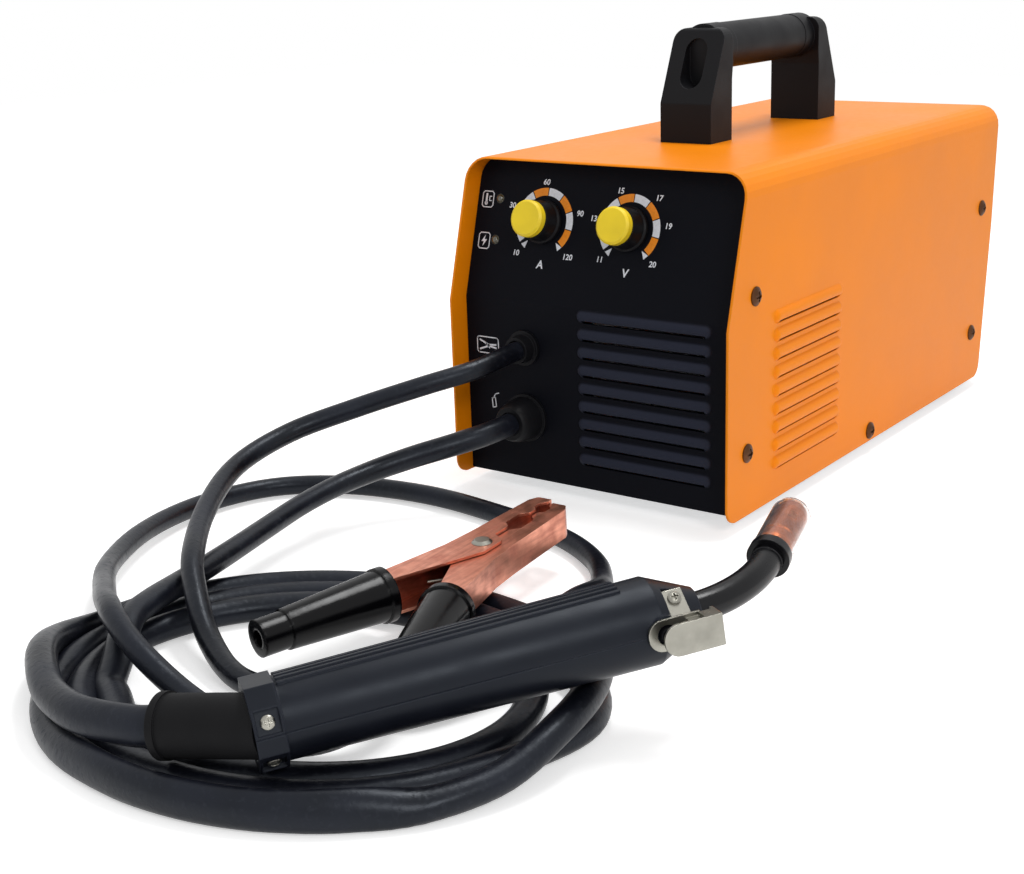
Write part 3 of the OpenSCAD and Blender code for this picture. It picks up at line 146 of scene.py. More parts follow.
# %% The torch lead's line: from the gland to its coil
LEAD_D = 12.5 * MM
lead_route = in_metres([
    (-46.5, -183, 43.5), (-46.5, -194, 43.3), (-51, -208, 41.5), (-62, -223, 38), (-76, -238, 33.5),
    (-88, -256, 29), (-95, -279, 25.5), (-96, -306, 22.5), (-92, -333, 20.7), (-86, -359, 20),
    (-80, -384, 20), (-75, -408, 20), (-71, -427, 20), (-66, -444, 19.6), (-60.5, -453.2, 18.2),
    (-55, -461, 15.2), (-49, -469.5, 10.6)])
lead_tail = in_metres([(-30, -517.5, 20), (-5, -524.5, 21.5), (22.7, -523.3, 23.8),
                       (35.9, -519.2, 25.6), (53, -513.8, 27.9)])
print(len(lead_route), "points lead to the coil and", len(lead_tail), "lead out of it")

# %% [markdown]
# ### The coil of the torch lead
# The spare hose lies in three turns on the floor. Points set by hand would let the
# turns cut into each other, so the coil is reckoned: an oval spiral that grows by a
# little more than the hose's width in each turn. At the right the second turn slips
# outwards under the third, which is lifted over it, and at its end the hose climbs
# inwards onto the turn below. A soft hump and a soft step shape those two places.

# %% A soft hump and a soft step
def hill(x):
    """A round hump: 1 at 0, and 0 from 1 outwards on both sides."""
    return (1 + math.cos(math.pi * x)) / 2 if abs(x) < 1 else 0


def rise(x):
    """A soft step: 0 up to 0, and 1 from 1 on."""
    c = min(1, max(0, x))
    return c * c * (3 - 2 * c)


print("a quarter of the way: hill", round(hill(0.25), 3), "rise", round(rise(0.25), 3))

# %% Lay out the coil
COIL_MIDDLE, COIL_HALF = (31, -434), (86.5, 70.3)  # millimetres
COIL_TILT = math.radians(6)
COIL_FROM, COIL_TO, COIL_STEP = 220, 1300, 15      # degrees
TURN_WIDER, TURN_HIGHER, ON_FLOOR = 13.4, 13.1, 6.25
CROSSING, CROSSING_HALF = 736, 48                  # degrees
CLIMB, CLIMB_LONG = 1255, 45                       # degrees


def coil_point(angle):
    """The point of the coil at angle, in degrees, counted through all its turns."""
    under, over = (hill((angle - at) / CROSSING_HALF) for at in (CROSSING, CROSSING + 360))
    end, quarter = rise((angle - CLIMB) / CLIMB_LONG), math.pi / 2
    out = TURN_WIDER * ((angle - 180) / 360 - math.cos(quarter * under) + math.cos(quarter * end))
    a = math.radians(angle)
    u, v = (COIL_HALF[0] + out) * math.cos(a), (COIL_HALF[1] + out) * math.sin(a)
    return Vector((COIL_MIDDLE[0] + u * math.cos(COIL_TILT) - v * math.sin(COIL_TILT),
                   COIL_MIDDLE[1] + u * math.sin(COIL_TILT) + v * math.cos(COIL_TILT),
                   ON_FLOOR + TURN_HIGHER * math.sin(quarter * max(over, end)))) * MM


coil_line = [coil_point(a) for a in range(COIL_FROM, COIL_TO + 1, COIL_STEP)]
coil_start = coil_line[0] - LEAD_D * (coil_line[1] - coil_line[0]).normalized()
torch_line = smooth(lead_route + [coil_start] + coil_line + lead_tail, 5)
print("torch lead", round(length_of(torch_line), 3), "m")

# %% [markdown]
# ### The earth cable
# The earth lead is a plain round cable that keeps its shape, so nothing has to be
# modelled by hand: a curve follows its centre line, the curve's bevel gives the round
# skin, and that is kept as a mesh. The ends are inside the gland and the clamp's grip.

# %% Make the earth cable
def tube_piece(name, line, diameter, roundness=6):
    """A round skin along line, bevelled on a curve and kept as a mesh."""
    data = bpy.data.curves.new(name, "CURVE")
    data.dimensions, data.bevel_depth = "3D", diameter / 2
    data.bevel_resolution, data.use_fill_caps = roundness, True
    spline = data.splines.new("POLY")
    spline.points.add(len(line) - 1)
    for point, place in zip(spline.points, line):
        point.co = (*place, 1)
    spline.use_smooth = True
    holder = into_scene(name, data)
    drawn = holder.evaluated_get(bpy.context.evaluated_depsgraph_get())
    skin = bpy.data.meshes.new_from_object(drawn)
    bpy.data.objects.remove(holder)
    return into_scene(name, skin)


earth_lead = tube_piece("earth_lead_sheath", earth_line, EARTH_D)
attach(earth_lead, "machine")
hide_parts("earth_lead")
print("earth cable of", len(earth_lead.data.polygons), "faces")

# %% [markdown]
# ### The torch hose in its sleeve
# The torch lead is a hose in a soft sleeve: where it is pressed it turns into a flat
# oval, and short creases run across it. At the front the outer turn is propped up by
# the turn beside it, stands nearly on edge and leans. A bevelled curve has the same
# round section everywhere, so the skin is built ring by ring instead. Each ring is an
# oval whose width, lean and creases follow slow noise along the lead. The noise has no
# random seed, so the sleeve is the same each time.

# %% Directions along a line
def frames_along(line):
    """Each point of line with its directions sideways and up."""
    for i, p in enumerate(line):
        ahead = (line[min(i + 1, len(line) - 1)] - line[max(i - 1, 0)]).normalized()
        side = ahead.cross(Vector((0, 0, 1))).normalized()
        yield p, side, side.cross(ahead)


print("sideways at the gland", [round(v, 2) for v in next(frames_along(torch_line))[1]])

# %% How slack the sleeve is along the lead
HELD_FIRST, HELD_LAST = 0.03, 0.05       # metres held round by the gland and the boot
FRONT_X, FRONT_Y = -0.07, -0.47          # metres, where the front of the coil begins
OUTER_TURN = 1.42                        # metres along the lead


def slack(run, total):
    """0 where the sleeve is held round at the ends, up to 1 where it lies flat."""
    ends = rise((run - HELD_FIRST) / 0.10) * rise((total - HELD_LAST - run) / 0.08)
    wander = 0.5 + 0.9 * noise.noise(Vector((run * 5.5, 3.1, 0.4)))
    return ends * min(1, max(0.1, wander))


def propped(place, run):
    """1 where the outer turn stands on edge at the front of the coil, 0 elsewhere."""
    at_front = rise((place.x - FRONT_X) / 0.09) * rise((FRONT_Y - place.y) / 0.035)
    return at_front * rise((run - OUTER_TURN) / 0.08)


print("slack in the middle", round(slack(1.2, 2.35), 2))

# %% The section of the sleeve
WIDER, WIDER_PROPPED = 0.17, 0.10        # parts of the radius at full slack
LOWER, LOWER_PROPPED = 0.13, 0.05
SWELL, CREASE = 0.035, 0.05


def oval(place, run, total):
    """Slack, width, height and lean of the section. The round hose is 1 wide and high."""
    flat, stood = slack(run, total), propped(place, run)
    flat += (0.95 - 0.95 * flat) * stood
    wide = 1 + (WIDER + WIDER_PROPPED * stood) * flat
    high = 1 - (LOWER + LOWER_PROPPED * stood) * flat
    wave = noise.noise(Vector((run * 3.2, 8.7, 1.9)))
    lean = math.radians(38 * wave * (1 - stood) - (58 + 60 * wave) * stood)
    return flat, wide, high, lean


def ripple(run, a):
    """How far a slack skin stands out or in at angle a, as a part of the radius."""
    crease = noise.noise(Vector((run * 75, 2.2 * math.cos(a), 2.2 * math.sin(a))))
    soft = noise.noise(Vector((run * 22, 1.4 * math.cos(a) + 5, 1.4 * math.sin(a))))
    return SWELL * soft - CREASE * max(0, crease - 0.15)


print("section half way", [round(v, 2) for v in oval(Vector(), 1.2, 2.35)])

# %% Skin the sleeve
FLOOR_GAP = 0.1 * MM


def mesh_piece(name, mesh):
    """The object that carries a finished bmesh."""
    data = bpy.data.meshes.new(name)
    mesh.to_mesh(data)
    mesh.free()
    return into_scene(name, data)


def sleeve_piece(name, line, diameter, sides=28):
    """The sleeve, and the middle of each of its rings."""
    mesh, run, total = bmesh.new(), 0.0, length_of(line)
    rings, centres, before = [], [], line[0]
    for p, side, above in frames_along(line):
        run += (p - before).length
        before = p
        flat, wide, high, lean = oval(p, run, total)
        ring = []
        for k in range(sides):
            a = 2 * math.pi * k / sides
            x, y = wide * math.cos(a), high * math.sin(a)
            x, y = (x * math.cos(lean) - y * math.sin(lean),
                    x * math.sin(lean) + y * math.cos(lean))
            swell = 1 + flat * ripple(run, a)
            ring.append(p + diameter / 2 * swell * (x * side + y * above))
        lift = Vector((0, 0, max(0, FLOOR_GAP - min(q.z for q in ring))))
        centres.append(p + lift)
        rings.append([mesh.verts.new(q + lift) for q in ring])
    for a, b in zip(rings, rings[1:]):
        for k in range(sides):
            mesh.faces.new((a[k], a[(k + 1) % sides], b[(k + 1) % sides], b[k]))
    mesh.faces.new(rings[0][::-1])
    mesh.faces.new(rings[-1])
    bmesh.ops.recalc_face_normals(mesh, faces=mesh.faces)
    piece = mesh_piece(name, mesh)
    piece.data.shade_smooth()
    return piece, centres


torch_lead, torch_centres = sleeve_piece("torch_lead_sleeve", torch_line, LEAD_D)
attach(torch_lead, "machine")
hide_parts("torch_lead", "torch_lead_coil")
print("sleeve of", len(torch_lead.data.polygons), "faces")

# %% [markdown]
# ### What hangs on each lead
# The earth lead ends in the clamp and the torch lead in the torch.

# %% [markdown]
# ## A short way to write shaders
# A finish is a sum of small patterns. Written as nodes by hand it is long, so one
# class stands for a socket and lets Python's own signs add the nodes, and another one
# holds the node tree. Numbers use Math nodes, places use Vector Math, colours mix.

# %% A socket that can be reckoned with
class Signal:
    """An output of a node, and the shader that the node belongs to."""

    def __init__(self, owner, socket):
        self.owner, self.socket = owner, socket

    def _join(self, sign, a, b):
        if self.socket.type == "VECTOR":
            kind, settings = "ShaderNodeVectorMath", {"operation": sign}
            a, b = ((v,) * 3 if isinstance(v, (int, float)) else v for v in (a, b))
        else:
            kind, settings = "ShaderNodeMath", {"operation": sign}
        return self.owner.node(kind, settings, {0: a, 1: b})

    def __add__(self, other): return self._join("ADD", self, other)
    def __radd__(self, other): return self._join("ADD", other, self)
    def __sub__(self, other): return self._join("SUBTRACT", self, other)
    def __rsub__(self, other): return self._join("SUBTRACT", other, self)
    def __mul__(self, other): return self._join("MULTIPLY", self, other)
    def __rmul__(self, other): return self._join("MULTIPLY", other, self)

    def clipped(self, low, high):
        """0 below low, 1 above high, even in between."""
        return self.owner.node("ShaderNodeMapRange", {"clamp": True},
                               {"Value": self, "From Min": low, "From Max": high})


print("signals can be added, subtracted, multiplied and clipped")

# %% A node tree and the shader that it feeds
class Shader:
    """The nodes of a material or a world, with the shader node named shader."""

    def __init__(self, owner, shader):
        owner.use_nodes = True
        self.tree = owner.node_tree
        self.shader = self.tree.nodes[shader]

    def node(self, kind, settings=None, inputs=None, out=0):
        """Add a node: its settings first, then the values or links of its sockets."""
        made = self.tree.nodes.new(kind)
        for name, value in (settings or {}).items():
            setattr(made, name, value)
        for key, value in (inputs or {}).items():
            if isinstance(value, Signal):
                self.tree.links.new(value.socket, made.inputs[key])
            else:
                made.inputs[key].default_value = value
        return Signal(self, made.outputs[out])

    def feed(self, **signals):
        """Link signals to the shader's own sockets."""
        for name, signal in signals.items():
            self.tree.links.new(signal.socket, self.shader.inputs[name.replace("_", " ")])


print("a shader can add nodes and feed on them")

# %% A finish: one material with its patterns
MIX_AMOUNT, MIX_A, MIX_B, MIX_COLOUR = 0, 6, 7, 2  # sockets of a Mix node for colours
EDGE_FROM, EDGE_FULL = 0.02, 0.22                  # how far the normal turns at an edge


class Finish(Shader):
    """A material. Constants go straight onto the shader's sockets."""

    def __init__(self, name, **constants):
        self.material = bpy.data.materials.new(name)
        super().__init__(self.material, "Principled BSDF")
        for socket, value in constants.items():
            self.shader.inputs[socket.replace("_", " ")].default_value = value

    def place(self):
        """The point on the part in metres, which stays with the part as it moves."""
        return self.node("ShaderNodeTexCoord", out="Object")

    def grain(self, size, detail=3, stretch=(1, 1, 1)):
        """Soft noise with lumps of size metres, drawn out along an axis by stretch."""
        drawn = self.place() * tuple(1 / (size * s) for s in stretch)
        return self.node("ShaderNodeTexNoise", None,
                         {"Vector": drawn, "Scale": 1.0, "Detail": detail})

    def blend(self, amount, a, b):
        """Colour a where amount is 0, b where it is 1."""
        a, b = ((*c, 1) if isinstance(c, tuple) and len(c) == 3 else c for c in (a, b))
        return self.node("ShaderNodeMix", {"data_type": "RGBA"},
                         {MIX_AMOUNT: amount, MIX_A: a, MIX_B: b}, out=MIX_COLOUR)

    def edges(self, radius):
        """Rounded normal, and a mask that is 1 on sharp edges."""
        bent = self.node("ShaderNodeBevel", {"samples": 4}, {"Radius": radius})
        flat = self.node("ShaderNodeNewGeometry", out="Normal")
        turned = self.node("ShaderNodeVectorMath", {"operation": "DOT_PRODUCT"},
                           {0: bent, 1: flat}, out="Value")
        return bent, (1 - turned).clipped(EDGE_FROM, EDGE_FULL)

    def bump(self, height, depth, strength, normal=None):
        """Raise the surface by depth metres where height is 1."""
        inputs = {"Height": height, "Distance": depth, "Strength": strength}
        if normal is not None:
            inputs["Normal"] = normal
        self.feed(Normal=self.node("ShaderNodeBump", None, inputs))


print("a finish has grain, blends, edges and a bump")

# %% [markdown]
# ## Colours as a maker names them
# Paint is matched on a screen in steps from 0 to 255, but a renderer adds up light.
# One helper turns the screen's numbers into amounts of light.

# %% Screen colours to light
def tone(*steps):
    """Screen colour, 0 to 255 each, as linear light."""
    parts = (s / 255 for s in steps)
    return tuple(p / 12.92 if p <= 0.04045 else ((p + 0.055) / 1.055) ** 2.4 for p in parts)


BLUISH = (0.82, 0.90, 1.0, 1)  # tints the sheen of the leads and of the torch
finishes = {}
print("the case's orange as light", [round(c, 3) for c in tone(244, 137, 4)])

# %% [markdown]
# ## Powder coat
# The case is sprayed with powder and baked. The skin is satin and has a faint orange
# peel, lumps about a millimetre wide. It is a touch thinner and paler on sharp folds.
# On the panel, the faces of the louvres that stand forward get a painted highlight, a
# paler colour for the light that falls on them from above. Noise of several sizes makes
# the peel and the slow drift of colour and sheen, and the edge mask brightens the folds.

# %% Orange and black powder coat
def powder_coat(name, colour, worn, rough, peel, painted_highlight_from=None, **constants):
    """Coat on sheet steel. Faces that stand forward past the given depth in metres get a painted
    highlight.
    """
    finish = Finish(name, **constants)
    bent, edge = finish.edges(radius=0.0009)
    drift = finish.grain(0.06, detail=2).clipped(0.3, 0.7)
    dull = tuple(c * 0.93 for c in colour)
    skin = finish.blend(drift, dull, colour)
    if painted_highlight_from:
        depth = finish.node("ShaderNodeSeparateXYZ", None, {"Vector": finish.place()}, out="Y")
        # Painted highlight: the louvre faces that stand forward blend towards the pale colour, for
        # the light falling on them from above.
        skin = finish.blend((0 - depth).clipped(painted_highlight_from, painted_highlight_from + 0.0012) * 0.8, skin, worn)
    finish.feed(Base_Color=finish.blend(edge * 0.35, skin, worn),
                Roughness=rough + 0.10 * finish.grain(0.004, detail=2) + 0.05 * drift)
    finish.bump(finish.grain(0.0011, detail=2), peel, strength=0.55, normal=bent)
    return finish.material


finishes["orange_paint"] = powder_coat(
    "orange_powder_coat", tone(244, 137, 4), tone(252, 168, 62),
    rough=0.34, peel=0.00006, Specular_IOR_Level=0.14)
finishes["black_paint"] = powder_coat(
    "black_powder_coat", tone(13, 13, 18), tone(46, 48, 56),
    rough=0.42, peel=0.00008, Specular_IOR_Level=0.05)
# On the panel the pale colour serves both the worn edges and the painted highlight on the louvres.
finishes["panel_paint"] = powder_coat(
    "black_panel_coat", tone(13, 14, 20), tone(46, 49, 62),
    rough=0.46, peel=0.00008, painted_highlight_from=0.1705, Specular_IOR_Level=0.05)
print("three powder coats")

# %% [markdown]
# ## Bare and plated metal
# Sheet steel inside the case is brushed one way; screws, pins and the trigger are
# plated and shine more. All of them are the same recipe with other numbers: a metal
# with fine streaks, cloudy stains and brighter edges.

# %% Brushed and plated metals
def metal(name, colour, stain, rough, streak=(1, 1, 14), size=0.0009, depth=0.00002):
    """Metal with streaks of that size, drawn out along an axis, and clouds of stain."""
    finish = Finish(name, Metallic=1.0)
    bent, edge = finish.edges(radius=0.0004)
    cloud = finish.grain(0.012, detail=4).clipped(0.35, 0.75)
    lines = finish.grain(size, detail=2, stretch=streak)
    bright = tuple(min(1, c * 1.7) for c in colour)
    body = finish.blend(cloud * 0.55, colour, stain)
    finish.feed(Base_Color=finish.blend(edge * 0.6, body, bright),
                Roughness=rough + 0.16 * cloud + 0.10 * lines)
    finish.bump(lines, depth, strength=0.5, normal=bent)
    return finish.material


finishes["grey_steel"] = metal(
    "brushed_sheet_steel", tone(186, 188, 190), tone(150, 152, 156), rough=0.30)
finishes["zinc"] = metal(
    "bright_nickel_plate", tone(158, 156, 147), tone(112, 110, 102), rough=0.20,
    streak=(6, 6, 1), size=0.0006)
finishes["brown_screw"] = metal(
    "bronzed_screw", tone(92, 62, 42), tone(42, 30, 24), rough=0.34)
finishes["dark_metal"] = metal(
    "blackened_steel", tone(70, 72, 76), tone(40, 41, 44), rough=0.40)
finishes["roller_brass"] = metal(
    "turned_brass", tone(214, 178, 104), tone(170, 134, 72), rough=0.24, streak=(14, 1, 1))
finishes["core_steel"] = metal(
    "stacked_core_steel", tone(120, 120, 122), tone(84, 74, 66), rough=0.42,
    streak=(30, 1, 30), size=0.0005, depth=0.0002)
print("six metals")

# %% [markdown]
# ## Copper
# The clamp's jaws are pressed from steel and plated with copper. Pressing leaves
# long streaks, and fingers leave darker clouds. The nozzle and the tip are turned from
# solid copper. The recipe is the metals' one with a second colour in its streaks.

# %% Copper plate and turned copper
def copper(name, colour, deep, rough, streak):
    """Copper with deep streaks and clouds, and pale edges."""
    finish = Finish(name, Metallic=1.0)
    bent, edge = finish.edges(radius=0.00015)
    cloud = finish.grain(0.009, detail=4).clipped(0.38, 0.72)
    lines = finish.grain(0.0022, detail=3, stretch=streak)
    streaked = finish.blend(lines.clipped(0.42, 0.70) * 0.45, colour, deep)
    body = finish.blend(cloud * 0.5, streaked, deep)
    finish.feed(Base_Color=finish.blend(edge * 0.45, body, tone(255, 214, 186)),
                Roughness=rough + 0.18 * cloud + 0.14 * lines)
    finish.bump(lines, 0.00003, strength=0.4, normal=bent)
    return finish.material


finishes["copper_plate"] = copper(
    "copper_plated_steel", tone(228, 156, 130), tone(140, 72, 60), rough=0.24, streak=(1, 12, 1))
finishes["copper"] = copper(
    "turned_copper", tone(206, 108, 46), tone(120, 54, 24), rough=0.20, streak=(4, 4, 1))
print("two coppers")

# %% [markdown]
# ## Plastic, rubber and vinyl
# Moulded plastic carries the spark-eroded grain of its mould. Rubber is duller and
# collects a little dust. Dipped vinyl is as smooth as lacquer. One recipe serves all:
# fine grain, a slow change of sheen, and a little wear on edges.

# %% Moulded and dipped skins
def moulded(name, colour, worn, rough, grain=0.0005, depth=0.00004, bevel=0.0006, wear=0.4,
            **constants):
    """A skin with fine grain, patches of sheen and edges worn to another colour."""
    finish = Finish(name, **constants)
    bent, edge = finish.edges(radius=bevel)
    patch = finish.grain(0.02, detail=3).clipped(0.3, 0.7)
    fine = finish.grain(grain, detail=2)
    shade = finish.blend(patch, tuple(c * 0.86 for c in colour), colour)
    finish.feed(Base_Color=finish.blend(edge * wear, shade, worn),
                Roughness=rough + 0.12 * patch + 0.06 * fine)
    finish.bump(fine, depth, strength=0.5, normal=bent)
    return finish.material


finishes["plastic_black"] = moulded(
    "grained_black_plastic", tone(15, 15, 18), tone(48, 49, 54), rough=0.40,
    Specular_IOR_Level=0.14)
finishes["plastic_yellow"] = moulded(
    "yellow_plastic", tone(246, 214, 34), tone(255, 238, 120), rough=0.34,
    grain=0.0008, depth=0.00002, Specular_IOR_Level=0.4)
finishes["plastic_red"] = moulded(
    "red_plastic", tone(150, 28, 24), tone(190, 70, 60), rough=0.30)
finishes["rubber_black"] = moulded(
    "matt_rubber", tone(15, 15, 17), tone(36, 36, 38), rough=0.60,
    grain=0.0009, depth=0.00008, Specular_IOR_Level=0.14)
finishes["vinyl_black"] = moulded(
    "dipped_vinyl", tone(6, 6, 8), tone(18, 18, 22), rough=0.07,
    grain=0.004, depth=0.00010, bevel=0.0016, wear=0.2, Specular_IOR_Level=0.17)
finishes["pot_blue"] = moulded(
    "blue_moulding", tone(60, 96, 140), tone(110, 140, 176), rough=0.42)
finishes["lens"] = moulded(
    "lamp_lens", tone(70, 66, 44), tone(120, 112, 80), rough=0.10,
    grain=0.002, depth=0.00001, bevel=0.0003, wear=0.1, Coat_Weight=1.0, Coat_Roughness=0.05)
print("seven plastics and rubbers")

# %% [markdown]
# ## The sheath of the leads
# The sheath is soft rubber with a satin skin, a little blue in the light. Handling
# rubs dull patches into it and leaves a fine dust, and the skin is finely wrinkled.
# Three sizes of noise stand for these, and a tint on the shine gives the blue.

# %% Lead rubber
def lead_rubber(name, depth):
    """Satin rubber with rubbed patches, dust, and wrinkles of that depth."""
    finish = Finish(name, Specular_IOR_Level=0.26, Specular_Tint=BLUISH)
    rubbed = finish.grain(0.035, detail=3).clipped(0.35, 0.7)
    dust = finish.grain(0.0022, detail=4).clipped(0.55, 0.8)
    wrinkle = finish.grain(0.0035, detail=3)
    skin = finish.blend(rubbed, tone(9, 10, 16), tone(20, 22, 31))
    finish.feed(Base_Color=finish.blend(dust * 0.10, skin, tone(80, 84, 94)),
                Roughness=0.30 + 0.14 * rubbed + 0.20 * dust)
    finish.bump(wrinkle + 0.4 * dust, depth, strength=0.6)
    return finish.material


finishes["lead_rubber"] = lead_rubber("satin_lead_rubber", depth=0.00025)
for lead in (earth_lead, torch_lead):
    lead.data.materials.append(finishes["lead_rubber"])
print("leads dressed")

# %% [markdown]
# ## Clear cap
# The shipping cap over the nozzle is clear plastic, scuffed by handling. Light goes
# through it, so the copper shows, and the scuffs blur it here and there. A low index
# of refraction keeps the thin wall from bending the copper out of shape.

# %% Scuffed clear plastic
def clear_plastic(name):
    finish = Finish(name, Transmission_Weight=0.96, IOR=1.22, Specular_IOR_Level=0.5)
    scuff = finish.grain(0.0030, detail=4, stretch=(1, 1, 4)).clipped(0.5, 0.75)
    finish.feed(Base_Color=finish.blend(scuff, tone(238, 238, 238), tone(204, 206, 210)),
                Roughness=0.03 + 0.14 * scuff)
    finish.bump(scuff, 0.00003, strength=0.4)
    return finish.material


finishes["clear_plastic"] = clear_plastic("scuffed_clear_plastic")
print("clear cap ready")

# %% [markdown]
# ## Windings
# A coil of wire is a stack of even turns. Drawing every turn would take a hundred
# thousand faces, so a wave across the stack raises one ridge per turn and paints shade
# in a darker colour into the grooves between the turns.

# %% Wound wire
WAVE_LENGTH = 0.314  # metres from ridge to ridge of a wave texture at scale 1


def winding(name, colour, painted_gap_shade, turn, axis, metallic):
    """Wire wound with one ridge every turn metres along axis, and painted shade in the grooves
    between.
    """
    finish = Finish(name, Metallic=metallic)
    ridge = finish.node("ShaderNodeTexWave", {"wave_type": "BANDS", "bands_direction": axis},
                        {"Vector": finish.place(), "Scale": WAVE_LENGTH / turn,
                         "Distortion": 0.3, "Detail": 1.0}, out="Fac")
    mottle = finish.grain(0.006, detail=3).clipped(0.3, 0.7)
    body = finish.blend(mottle, tuple(c * 0.8 for c in colour), colour)
    # Painted shade: the grooves between the turns take the darker colour.
    finish.feed(Base_Color=finish.blend(ridge.clipped(0.05, 0.4), painted_gap_shade, body),
                Roughness=0.38 - 0.12 * ridge + 0.08 * mottle)
    finish.bump(ridge, turn * 0.4, strength=0.8)
    return finish.material


finishes["wire_steel"] = winding(
    "wound_welding_wire", tone(186, 178, 164), tone(60, 56, 50),
    turn=0.0009, axis="X", metallic=1.0)
finishes["copper_wire"] = winding(
    "wound_copper_wire", tone(176, 92, 44), tone(60, 26, 14),
    turn=0.0012, axis="Z", metallic=0.6)
print("two windings")

# %% [markdown]
# ## The circuit board
# The board, its two storage capacitors and its two finned coolers are one solid. They
# stand in different places, so the height above the board and the distance along it
# choose between green lacquer, blue sleeve and bare aluminium.

# %% Board, capacitors and coolers
def board(name, top, cooler_from, soft=0.0002):
    """Green up to the height top, then blue, and bare metal further back than cooler_from."""
    finish = Finish(name, Specular_IOR_Level=0.5)
    place = finish.place()
    along = finish.node("ShaderNodeSeparateXYZ", None, {"Vector": place}, out="Y")
    high = finish.node("ShaderNodeSeparateXYZ", None, {"Vector": place}, out="Z")
    above = high.clipped(top, top + soft)
    cooler = along.clipped(cooler_from, cooler_from + soft) * above
    track = finish.node("ShaderNodeTexVoronoi", {"feature": "DISTANCE_TO_EDGE"},
                        {"Vector": place, "Scale": 260.0}).clipped(0.06, 0.09)
    lacquer = finish.blend(track, tone(34, 96, 60), tone(20, 66, 42))
    sleeve = finish.blend(above, lacquer, tone(30, 44, 78))
    finish.feed(Base_Color=finish.blend(cooler, sleeve, tone(196, 198, 202)),
                Metallic=cooler, Roughness=0.30 + 0.12 * finish.grain(0.003))
    finish.bump(track, 0.00004, strength=0.5)
    return finish.material


finishes["board_green"] = board("circuit_board", top=0.0163, cooler_from=-0.063)
print("board ready")

# %% [markdown]
# ## Give each part its finish
# The record says which finish each part takes. A few parts differ from others of the
# same material: the panel has a painted highlight on its louvres, the transformer's
# winding is copper wire, the torch's neck is lacquered and its handle is a little blue
# and shinier.

# %% Finishes of the torch
finishes["neck_lacquer"] = moulded(
    "lacquered_neck", tone(12, 12, 15), tone(34, 34, 38), rough=0.14,
    grain=0.002, depth=0.00003, Specular_IOR_Level=0.26)
finishes["torch_plastic"] = moulded(
    "torch_handle_plastic", tone(15, 17, 25), tone(50, 54, 68), rough=0.30,
    grain=0.0006, depth=0.00005, bevel=0.0012, Specular_IOR_Level=0.22, Specular_Tint=BLUISH)
print(len(finishes), "finishes in all")

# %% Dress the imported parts
own_finish = {"front_panel": "panel_paint", "transformer_winding": "copper_wire",
              "torch_neck": "neck_lacquer", "neck_ring": "neck_lacquer",
              "torch_shell_upper": "torch_plastic", "torch_shell_lower": "torch_plastic"}


def dress(piece, material):
    """Put one material on every face of a piece."""
    if piece.material_slots:
        for place in piece.material_slots:
            place.link, place.material = "OBJECT", material
    else:
        piece.data.materials.append(material)


slots = {part["node"]: part["material_slot"] for part in frame["record"]["subparts"]}
for name, part in nodes.items():
    dress(part, finishes[own_finish.get(name, slots[name])])
print(len(slots), "parts dressed in", len(finishes), "finishes")

# %% [markdown]
# ## The clamp's spring
# A torsion spring sits round the rivet and pushes the handles apart. Its turns stay
# still and one straight leg goes with the moving handle, so it is made as two wires
# that meet on the circle of the turns. Both are reckoned in the clamp's own frame,
# whose Z axis is the rivet, and a matrix then lays them in the clamp.

# %% Wind the spring
clamp_frame = (Matrix.Translation(Vector((33, -318.5, 23.4)) * MM)
               @ Matrix.Rotation(math.radians(91.6), 4, "Z")
               @ Matrix.Rotation(math.radians(-2.5), 4, "Y"))
SPRING_RADIUS, SPRING_HALF, WIRE_D = 5.2, 4.4, 1.7  # millimetres
LEG_X, LEG_Y = -24.4, 14.7
SPRING_FROM, SPRING_STEP, SPRING_STEPS = 228.1, 44.79, 30
FINE = 6  # points drawn for each step


def spring_turn(step):
    """A point on the spring's turns, from step 0 to the last one."""
    angle = math.radians(SPRING_FROM + SPRING_STEP * step)
    return Vector((SPRING_RADIUS * math.cos(angle), SPRING_RADIUS * math.sin(angle),
                   SPRING_HALF * (2 * step / SPRING_STEPS - 1))) * MM


turns = [spring_turn(k / FINE) for k in range(SPRING_STEPS * FINE + 1)]
moving_end, still_end = (Vector((LEG_X, side * LEG_Y, -side * SPRING_HALF)) * MM
                         for side in (1, -1))
for name, line, body in (("clamp_spring_turns", turns + [still_end], "machine"),
                         ("clamp_spring_leg", [moving_end, turns[0]], "clamp_jaw")):
    wire = tube_piece(name, [clamp_frame @ p for p in line], WIRE_D * MM, roundness=4)
    dress(wire, finishes["zinc"])
    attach(wire, body)
    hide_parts("clamp_spring")
print("spring wound from", len(turns), "points")

# %% [markdown]
# ## Print on the panel
# The scales are printed in two colours of ink. A print has almost no height, but a
# real film of ink catches light at its edge, so each mark is a thin flat plate a few
# hundredths of a millimetre over the coat. Marks are laid out flat, in millimetres to
# the right and up from a middle point, and a matrix then leans them on the panel.

# %% Where a mark sits on the panel
PANEL_Y, PANEL_FOOT, KINK_Z = -170.3, 7.0, 109.0  # millimetres
LEAN = math.atan(21.5 / 77)                       # 21.5 mm back on 77 mm up


def leaning(x, up):
    """Frame on the leaning half of the panel: X right, Y up the panel, Z outwards."""
    sine, cosine = math.sin(LEAN), math.cos(LEAN)
    turn = Matrix(((1, 0, 0), (0, sine, -cosine), (0, cosine, sine)))
    place = Vector((x, PANEL_Y + up * sine, KINK_Z + up * cosine)) * MM
    return Matrix.Translation(place) @ turn.to_4x4()


def upright(x, up):
    """Frame on the upright half of the panel."""
    turn = Matrix(((1, 0, 0), (0, 0, -1), (0, 1, 0)))
    return Matrix.Translation(Vector((x, PANEL_Y, PANEL_FOOT + up)) * MM) @ turn.to_4x4()


print("the panel leans back by", round(math.degrees(LEAN), 1), "degrees")

